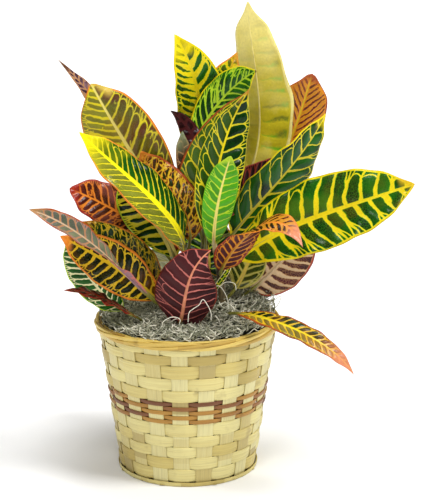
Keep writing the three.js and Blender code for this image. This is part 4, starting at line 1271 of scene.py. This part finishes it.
def stake_tree():
    """Upright strips standing round the wall."""
    tree = shape_tree("stakes", {
        "Stations": 60,
        "Section": 12,
        "Stakes": STAKES,
        "First Stake": FIRST_STAKE,
        "Width": STAKE_WIDTH,
        "Thickness": STRIP,
        "Crown": 0.4 * MM,
        "Bottom": 0.6 * MM,
        "Top": 148.6 * MM,
        "Roundness": 0.3,
        "Seed": 7,
        "Bamboo": "Material",
        **WALL_INPUTS,
    })
    stations, stakes, width = tree.asked("Stations"), tree.asked("Stakes"), tree.asked("Width")
    sheet = lanes_of(tree, grid_counters(tree, stations, tree.asked("Section")), stakes, "number")
    number = named(tree, "number")
    rise, inside = bar_ends(tree, stations)
    a, b = section_of(tree, named(tree, "turn"), tree.asked("Roundness"))
    a, b = tree.times(a, inside), tree.times(b, inside)
    angle = tree.plus(tree.asked("First Stake"), tree.over(tree.times(number, TAU), stakes))
    bottom, top = tree.asked("Bottom"), tree.asked("Top")
    height = tree.plus(bottom, tree.times(rise, tree.minus(top, bottom)))
    spot = tree.joined(number, tree.times(height, 14.0), 0.0)
    drift = tree.times(off_middle(tree, spot, 1.0), 1.2 * MM)
    edge = tree.times(a, off_middle(tree, spot, 2.7), 0.9 * MM)
    across = tree.times(a, width, 0.5)
    aside = tree.plus(across, drift, edge)
    through = tree.times(b, tree.asked("Thickness"), 0.5)
    radius = tree.plus(wall_radius(tree, height), through, crowned(tree, a))
    cosine, sine = tree.cosine(angle), tree.sine(angle)
    x = tree.minus(tree.times(radius, cosine), tree.times(aside, sine))
    y = tree.plus(tree.times(radius, sine), tree.times(aside, cosine))
    step = tree.math("FLOOR", tree.times(height, 40.0))
    tone = random_value(tree, 0.0, 1.0, tree.plus(tree.times(number, 31.0), step), tree.asked("Seed"))
    return end_strips(tree, sheet, tree.joined(x, y, height), across, tone, number)


def floor_tree():
    """Plaited floor: parallel strips cut to the circle, woven by their swing."""
    tree = shape_tree("floor strips", {
        "Stations": 56,
        "Section": 12,
        "Lanes": FLOOR_LANES,
        "Radius": FLOOR_RADIUS,
        "Swing": 0.42 * MM,
        "Thickness": 0.7 * MM,
        "Middle": FLOOR_MIDDLE,
        "Parity": 0,
        "Turned": 0,
        "Seed": 3,
        "Bamboo": "Material",
    })
    stations, lanes, radius = tree.asked("Stations"), tree.asked("Lanes"), tree.asked("Radius")
    sheet = lanes_of(tree, grid_counters(tree, stations, tree.asked("Section")), lanes, "number")
    number = named(tree, "number")
    rise, inside = bar_ends(tree, stations)
    a, b = section_of(tree, named(tree, "turn"), 0.3)
    a, b = tree.times(a, inside), tree.times(b, inside)
    pitch = tree.over(tree.times(radius, 2.0), lanes)
    half_lanes = tree.times(lanes, 0.5)
    middle = tree.times(tree.minus(tree.plus(number, 0.5), half_lanes), pitch)
    half = tree.math("SQRT", tree.minus(tree.times(radius, radius), tree.times(middle, middle)))
    run = tree.times(half, tree.minus(tree.times(rise, 2.0), 1.0))
    beat = tree.plus(tree.over(run, pitch), number, tree.asked("Parity"), half_lanes, 0.5)
    swing = tree.times(tree.cosine(tree.times(beat, math.pi)), tree.asked("Swing"))
    height = tree.plus(tree.asked("Middle"), swing, tree.times(b, tree.asked("Thickness"), 0.5))
    place = tree.joined(tree.plus(middle, tree.times(a, pitch, 0.48)), run, height)
    inputs = {"Vector": place, "Angle": tree.times(tree.asked("Turned"), math.pi / 2)}
    place = tree.out("ShaderNodeVectorRotate", "Vector", inputs, rotation_type="Z_AXIS")
    tone = random_value(tree, 0.0, 1.0, number, tree.asked("Seed"))
    return end_strips(tree, sheet, place, tree.times(a, pitch, 0.5), tone, number, turned=True)


def bamboo_material(name, pale, mid, deep, upright=False, contrast=1.0):
    """Split bamboo: tone by piece, fine fibres along it and darker flecks."""
    material, tree = new_material(name)
    pale, mid, deep = colour(pale), colour(mid), colour(deep)
    at = place_in_object(tree)
    x, y, z = tree.parts(at)
    fibre_at = tree.times(tree.attribute("across"), 2600.0)
    apart = tree.times(tree.attribute("strip"), 7.3)
    if upright:
        along = tree.joined(fibre_at, apart, tree.times(z, 26.0))
    else:
        along = tree.joined(tree.times(x, 26.0), tree.times(y, 26.0), tree.plus(fibre_at, apart))
    fibres = tree.noise(along, 1.0, 3.0)
    streaks = tree.noise(tree.vector("MULTIPLY", along, (0.28, 0.28, 0.28)), 1.0, 2.0)
    tone = tree.attribute("tone")
    blotch = tree.noise(at, 60.0, 3.0)
    warm = tree.plus(tree.times(tone, 0.75), tree.times(streaks, 0.45), -0.1)
    paint = tree.blend(tree.ramp(warm, 0.1, 0.9), pale, mid)
    for value, low, high, strength in ((tone, 0.66, 0.95, 0.32), (fibres, 0.5, 0.75, 0.38),
                                       (blotch, 0.62, 0.78, 0.35)):
        paint = tree.blend(tree.times(tree.ramp(value, low, high), strength * contrast), paint, deep)
    rough = tree.plus(0.38, tree.times(fibres, 0.25))
    surfaced(tree, paint, rough, fibres, 0.5, 0.25 * MM, Coat_Weight=0.12, Coat_Roughness=0.3)
    return material


def make_basket():
    ring, stakes, floor = ring_tree(), stake_tree(), floor_tree()
    straw = bamboo_material("straw bamboo", "e8dc96", "ceb760", "7c6236")
    straw_upright = bamboo_material("upright straw bamboo", "e4da9c", "ccb86e", "7c6844", upright=True)
    gold = bamboo_material("golden bamboo", "e8cc6a", "c8a03a", "7a5518", contrast=1.3)
    brown = bamboo_material("brown cane", "b8862e", "844a1c", "3c1e0c")
    for row, (bottom, top) in enumerate([*LOWER_ROWS, *UPPER_ROWS]):
        number = f"{row + 1:02d}"
        values = {"Bottom": (bottom - ROW_SPREAD) * MM, "Top": (top + ROW_SPREAD) * MM,
                  "Parity": row % len(LOWER_ROWS) + 1, "Seed": row, "Bamboo": straw}
        belongs(grow(f"straw_weaver_{number}", ring, values), "bamboo_straw", f"weaver_{number}")
    for row in range(CANE_ROWS):
        bottom = (CANE_FOOT + row * CANE_PITCH) * MM
        values = {"Bottom": bottom, "Top": bottom + CANE_HEIGHT * MM, "Parity": row, "Seed": CANE_SEED + row,
                  "Bamboo": brown, "Crown": 0.3 * MM, "Wobble": 0.3 * MM, "Thickness": 1.0 * MM}
        belongs(grow(f"brown_cane_{row + 1}", ring, values), "bamboo_brown", f"accent_cane_{row + 1}")
    stands_for = ("bamboo_straw", "basket_base_and_stakes")
    belongs(grow("upright_stakes", stakes, {"Bamboo": straw_upright}), *stands_for)
    for turned, label in enumerate(("floor_strips_along", "floor_strips_across")):
        values = {"Turned": turned, "Parity": turned, "Bamboo": straw_upright}
        belongs(grow(label, floor, values), *stands_for)
    bamboos = {"bamboo_gold": gold, "bamboo_straw": straw}
    for number, (name, node, slot, bottom, top, offset, thick) in enumerate(HOOPS):
        values = {"Bottom": bottom * MM, "Top": top * MM, "Swing": 0.0, "Offset": offset * MM,
                  "Thickness": thick * MM, "Crown": 0.0, "Wobble": 0.25 * MM, "Roundness": 0.62,
                  "Seed": HOOP_SEED + number, "Bamboo": bamboos[slot]}
        if number < len(RIM_PLIES):
            values |= {"Twists": RIM_TWISTS, "Twist Start": number * TAU / len(RIM_PLIES),
                       "Twist Rise": 2.3 * MM, "Twist Depth": 1.1 * MM}
        belongs(grow(name, ring, values), slot, node)


# --------------------------------------------------------------------- moss
# The sizes of the moss are in mm.
MOSS_RADIUS = 82
MOSS_EDGE_TOP = 151
MOSS_DOME = 9
MOSS_LEAN = (0.05, 0.105)
MOSS_MOUND = {"x": 36, "y": 42, "height": 12, "reach": 38.7}
BED_RADIUS = 81
BED_DEPTH = 3.5
BED_EDGE_DEPTH = 0.5
# Radius and height of the rings that turn the bed in under its edge.
BED_SKIRT = ((80.2, 142.0), (75.0, 139.8), (74.4, 133.8))
MOSS_RINGS = 40
MOSS_AROUND = 160


def moss_top(x, y):
    """Height of the moss over a place, in mm, before its strands."""
    r = np.hypot(x, y) / MOSS_RADIUS
    dome = 1 - r ** 2.6
    lean = MOSS_LEAN[0] * x + MOSS_LEAN[1] * y
    lumps = 1.4 * np.sin(x / 11 + 1.0) * np.cos(y / 13 - 0.6) + 1.1 * np.sin((x + y) / 17)
    small = 1.1 * np.sin(x / 3.1 + np.sin(y / 4.7)) * np.cos(y / 3.7 + np.sin(x / 5.3))
    off_mound = np.hypot(x - MOSS_MOUND["x"], y - MOSS_MOUND["y"]) / MOSS_MOUND["reach"]
    mound = MOSS_MOUND["height"] * np.exp(-off_mound ** 2)
    held = np.minimum(1, 1.9 * (1 - r) + 0.35)
    return MOSS_EDGE_TOP + MOSS_DOME * dome + mound + (lean + lumps) * held + small


def make_moss_bed():
    turns = np.arange(MOSS_AROUND) * TAU / MOSS_AROUND
    rings = []
    for r in np.linspace(0.02, 1.0, MOSS_RINGS) ** 0.75 * BED_RADIUS:
        x, y = r * np.cos(turns), r * np.sin(turns)
        depth = BED_DEPTH - (BED_DEPTH - BED_EDGE_DEPTH) * (r / BED_RADIUS) ** 4
        rings.append(np.column_stack([x, y, moss_top(x, y) - depth]))
    for r, z in BED_SKIRT:
        rings.append(np.column_stack([r * np.cos(turns), r * np.sin(turns), np.full(MOSS_AROUND, z)]))
    points = [(0, 0, float(moss_top(0, 0)) - BED_DEPTH), *np.vstack(rings), (0, 0, BED_SKIRT[-1][1])]
    faces = []
    last = len(points) - 1
    foot = 1 + (len(rings) - 1) * MOSS_AROUND
    for j in range(MOSS_AROUND):
        k = (j + 1) % MOSS_AROUND
        faces.append((0, 1 + j, 1 + k))
        faces.append((last, foot + k, foot + j))
        for here in range(1, foot, MOSS_AROUND):
            there = here + MOSS_AROUND
            faces.append((here + j, there + j, there + k, here + k))
    mesh = bpy.data.meshes.new("moss_bed")
    mesh.from_pydata([tuple(np.array(p) * MM) for p in points], [], faces)
    mesh.polygons.foreach_set("use_smooth", [True] * len(faces))
    bed = bpy.data.objects.new("moss_bed", mesh)
    bpy.context.scene.collection.objects.link(bed)
    return bed


def strand_tree():
    """Curly strands scattered over the upward faces of a bed."""
    tree = shape_tree("moss strands", {
        "Per Square Metre": 27000.0,
        "Points": 16,
        "Length": 32 * MM,
        "Curl": 5.0,
        "Radius": 0.5 * MM,
        "Wiggle": 6 * MM,
        "Lift": 7 * MM,
        "Limit": 85 * MM,
        "Seed": 1,
        "Moss": "Material",
    })
    upward = tree.parts(tree.out("GeometryNodeInputNormal", "Normal"))[2]
    inputs = {"Mesh": tree.asked("Geometry"), "Density": tree.asked("Per Square Metre"),
              "Seed": tree.asked("Seed"), "Selection": tree.above(upward, 0.35)}
    points = tree.out("GeometryNodeDistributePointsOnFaces", "Points", inputs, distribute_method="RANDOM")
    points = stored(tree, points, "strand", index_of(tree))
    count = tree.asked("Points")
    line = tree.out("GeometryNodeMeshLine", "Mesh", {"Count": count, "Offset": (0.0, 0.0, 0.0)})
    line = stored(tree, line, "step", tree.over(index_of(tree), tree.minus(count, 1.0)))
    lines = copies_on(tree, points, line)
    strand, step = named(tree, "strand"), named(tree, "step")

    def chance(low, high, seed):
        return random_value(tree, low, high, strand, seed)

    def turned(x, y, angle):
        """A place turned round by an angle."""
        cosine, sine = tree.cosine(angle), tree.sine(angle)
        return (tree.minus(tree.times(x, cosine), tree.times(y, sine)),
                tree.plus(tree.times(x, sine), tree.times(y, cosine)))

    bend = tree.times(chance(-1.0, 1.0, 12), tree.asked("Curl"))
    bend = tree.plus(bend, tree.times(tree.math("SIGN", bend), 0.7))
    size = tree.times(chance(0.45, 1.3, 13), tree.asked("Length"))
    radius = tree.over(size, bend)
    sweep = tree.times(tree.minus(step, 0.5), bend)
    x = tree.times(radius, tree.sine(sweep))
    y = tree.times(radius, tree.minus(1.0, tree.cosine(sweep)))
    roll = chance(-1.1, 1.1, 14)
    across, along = turned(x, tree.times(y, tree.cosine(roll)), chance(0.0, TAU, 11))
    z = tree.absolute(tree.times(y, tree.sine(roll)))
    z = tree.plus(z, tree.times(chance(0.0, 1.0, 15), tree.asked("Lift")))
    curl = tree.joined(across, along, z)
    apart = tree.joined(tree.times(strand, 3.7), 0.0, 0.0)
    spot = tree.vector("ADD", tree.vector("SCALE", curl, scale=90.0), apart)
    shake = tree.vector("SUBTRACT", tree.noise(spot, 1.0, 1.0, "Color"), (0.5, 0.5, 0.42))
    shake = tree.vector("SCALE", shake, scale=tree.asked("Wiggle"))
    place = tree.vector("ADD", tree.vector("ADD", position_of(tree), curl), shake)
    x, y, z = tree.parts(place)
    reach = tree.math("SQRT", tree.plus(tree.times(x, x), tree.times(y, y)))
    held = tree.math("MINIMUM", reach, tree.asked("Limit"))
    inward = tree.over(held, tree.math("MAXIMUM", reach, 0.0001))
    lines = placed(tree, lines, tree.joined(tree.times(x, inward), tree.times(y, inward), z))
    lines = stored(tree, lines, "tone", chance(0.0, 1.0, 16))
    lines = stored(tree, lines, "girth", tree.times(tree.asked("Radius"), chance(0.6, 1.35, 17)))
    rods = rod_along(tree, curve_of(tree, lines), 4, girth=named(tree, "girth"))
    end_shape(tree, rods, [(tree.asked("Moss"), None)])
    return tree


# Long curls that stand clear of the moss: their depth behind the basket's axis, then picture points.
STRAY_CURLS = [
    (-72 * MM, [(162, 327), (163, 322), (168, 318.5), (174, 317), (180, 319.5), (179, 325)]),
    (-72 * MM, [(188, 322), (189, 313), (193, 309), (199, 305), (203, 299.5), (208, 306), (211, 313),
                (211, 320)]),
    (-48 * MM, [(212, 289), (214, 286.5), (220, 286.5), (225.5, 294), (228, 302), (228, 309)]),
    (-40 * MM, [(221, 286), (224, 283), (229, 282), (235, 284), (236, 290)]),
    (10 * MM, [(270, 303), (276, 299), (281, 296), (279, 303), (275, 308)]),
    (24 * MM, [(262, 298), (266, 289), (272, 287), (277, 291), (276, 297)]),
]
CURL_STEPS = 8


def through(points):
    """A smooth line through points, with CURL_STEPS parts between two of them."""
    ends = [2 * points[0] - points[1], *points, 2 * points[-1] - points[-2]]
    t = np.linspace(0, 1, CURL_STEPS, endpoint=False)[:, None]
    line = []
    for a, b, c, d in zip(ends, ends[1:], ends[2:], ends[3:]):
        line.extend(b + 0.5 * t * (c - a + t * (2 * a - 5 * b + 4 * c - d + t * (3 * (b - c) + d - a))))
    return [*line, points[-1]]


def curl_tree():
    """One loose curl: a thin rod along a line."""
    tree = shape_tree("moss curl", {"Radius": 0.36 * MM, "Moss": "Material"})
    line = stored(tree, tree.asked("Geometry"), "tone", 1.0)
    rod = rod_along(tree, curve_of(tree, line), 6, radius=tree.asked("Radius"))
    end_shape(tree, rod, [(tree.asked("Moss"), None)])
    return tree


def moss_material():
    material, tree = new_material("dried moss")
    tone = tree.attribute("tone")
    at = place_in_object(tree)
    cloud = tree.noise(at, 240.0, 2.0)
    mix = tree.plus(tree.times(tone, 0.8), tree.times(cloud, 0.4), -0.1)
    paint = tree.blend(tree.ramp(mix, 0.0, 0.55), colour("66684f"), colour("b2b29a"))
    paint = tree.blend(tree.ramp(mix, 0.5, 0.9), paint, colour("f6f2de"))
    surfaced(tree, paint, 0.85, cloud, 0.3, 0.2 * MM, Specular_IOR_Level=0.25)
    return material


def bed_material():
    material, tree = new_material("moss bed")
    at = place_in_object(tree)
    cloud = tree.noise(at, 420.0, 4.0)
    # The bed is painted near black. This is partly the moss's own darker lower layer, and partly painted
    # shade for the gaps between the strands.
    paint = tree.blend(tree.ramp(cloud, 0.35, 0.7), colour("0a0b06"), colour("1e1f16"))
    surfaced(tree, paint, 0.9, cloud, 0.8, 1.5 * MM, Specular_IOR_Level=0.2)
    return material


def make_moss():
    bed = make_moss_bed()
    strands, curls, moss = strand_tree(), curl_tree(), moss_material()
    for seed in (1, 2, 3):
        values = {"Seed": seed, "Moss": moss}
        belongs(grow(f"moss_strands_{seed}", strands, values, bed.data.copy()), "moss", "moss")
    for number, (depth, places) in enumerate(STRAY_CURLS):
        line = line_mesh("curl", through([seen(across, down, depth) for across, down in places]))
        belongs(grow(f"moss_curl_{number + 1}", curls, {"Moss": moss}, line), "moss", "moss")
    bed.data.materials.append(bed_material())
    belongs(bed, "moss", "moss")


# -------------------------------------------------------------------- stems
def stem_tree():
    """A tapering stem with rings where old leaves stood."""
    tree = shape_tree("stem", {
        "Foot Radius": 4.6 * MM,
        "Tip Radius": 3.0 * MM,
        "Scar Spacing": 7 * MM,
        "Scar Height": 0.35 * MM,
        "Seed": 0.0,
        "Bark": "Material",
    })
    inputs = {"Curve": curve_of(tree, tree.asked("Geometry")), "Length": 1.2 * MM}
    rod = tree.out("GeometryNodeResampleCurve", "Curve", inputs, mode="LENGTH")
    place = tree.add("GeometryNodeSplineParameter")
    length, rise = (tree.pick(place.outputs, label) for label in ("Length", "Factor"))
    foot, tip = tree.asked("Foot Radius"), tree.asked("Tip Radius")
    radius = tree.plus(tree.times(tree.minus(1.0, rise), foot), tree.times(rise, tip))
    beat = tree.plus(tree.over(length, tree.asked("Scar Spacing")), tree.asked("Seed"))
    beat = tree.math("PINGPONG", beat, 0.5)
    scar = tree.times(tree.ramp(beat, 0.0, 0.12, 1.0, 0.0), tree.asked("Scar Height"))
    rod = stored(tree, rod, "scar", tree.ramp(beat, 0.0, 0.14, 1.0, 0.0))
    rod = rod_along(tree, rod, 18, girth=tree.plus(radius, scar))
    end_shape(tree, rod, [(tree.asked("Bark"), None)])
    return tree


def bark_material():
    material, tree = new_material("green bark")
    at = place_in_object(tree)
    streaks = tree.noise(tree.vector("MULTIPLY", at, (1.0, 1.0, 0.2)), 500.0, 3.0)
    height = tree.parts(at)[2]
    green = tree.blend(tree.ramp(height, 0.16, 0.26), colour("7a6a48"), colour("6f7a3a"))
    paint = tree.blend(tree.ramp(streaks, 0.4, 0.7), green, colour("4a3a22"))
    paint = tree.blend(tree.times(tree.attribute("scar"), 0.6), paint, colour("33281a"))
    surfaced(tree, paint, 0.7, streaks, 0.5, 0.4 * MM)
    return material


def make_stems():
    tree, bark = stem_tree(), bark_material()
    for number, (name, stem) in enumerate(STEMS.items()):
        heights = np.linspace(stem["axis"][0][2], stem["axis"][-1][2], 30) * MM
        line = line_mesh(name, [stem_at(name, z)[0] for z in heights])
        values = {"Foot Radius": stem["foot"] * MM, "Tip Radius": stem["tip"] * MM,
                  "Seed": number * 0.37, "Bark": bark}
        belongs(grow(name.replace("stem", "woody_stem"), tree, values, line), "stem", name)


# ----------------------------------------------------------- pot and potting
def paint_pot_and_soil():
    plastic, tree = new_material("black pot plastic")
    at = place_in_object(tree)
    grain = tree.noise(at, 900.0, 2.0)
    tint = tree.blend(grain, colour("1d1d1c"), colour("2b2b29"))
    surfaced(tree, tint, tree.plus(0.4, tree.times(grain, 0.2)), grain, 0.2, 0.2 * MM)
    soil, tree = new_material("potting soil")
    at = place_in_object(tree)
    crumbs = tree.noise(at, 380.0, 5.0)
    tint = tree.blend(tree.ramp(crumbs, 0.35, 0.7), colour("1c120b"), colour("4a3524"))
    surfaced(tree, tint, 0.95, crumbs, 1.0, 1.5 * MM, Specular_IOR_Level=0.2)
    for node, material in (("grow_pot", plastic), ("potting_soil", soil)):
        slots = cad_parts[node].data.materials
        slots.clear()
        slots.append(material)


# ------------------------------------------------------------------- leaves
def make_leaves():
    tree, pattern = leaf_tree(), croton_pattern()
    for number, own in enumerate(LEAVES):
        leaf = {**USUAL_LEAF, **own}
        name = leaf["name"]
        seed = number * 1.37
        top, under = {**FINISH, **leaf["top"]}, {**UNDERSIDE, **leaf["under"]}
        shown = under if leaf["shows_under"] else top
        values = {
            "Fold": math.radians(leaf["fold"]),
            "Curl": leaf["curl"],
            "Ripple": leaf["ripple"] * MM,
            "Waves": leaf["waves"],
            "Quilt": leaf["quilt"] * MM,
            "Vein Spacing": shown["spacing"] * MM,
            "Vein Slope": shown["slope"],
            "Vein Bend": shown["bend"],
            "Seed": seed,
            "Upper Side": blade_material(f"{name} upper", pattern, top, seed),
            "Under Side": blade_material(f"{name} under", pattern, under, seed, underside=True),
            "Stalk": stalk_material(f"{name} stalk", leaf["stalk_tone"], under["rib"]),
        }
        belongs(grow(f"blade_{name}", tree, values, leaf_line(leaf)), leaf["slot"], f"leaf_{name}")


# ---------------------------------------------------------------- the scene
make_lights()
make_floor()
make_basket()
make_moss()
make_stems()
paint_pot_and_soil()
make_leaves()
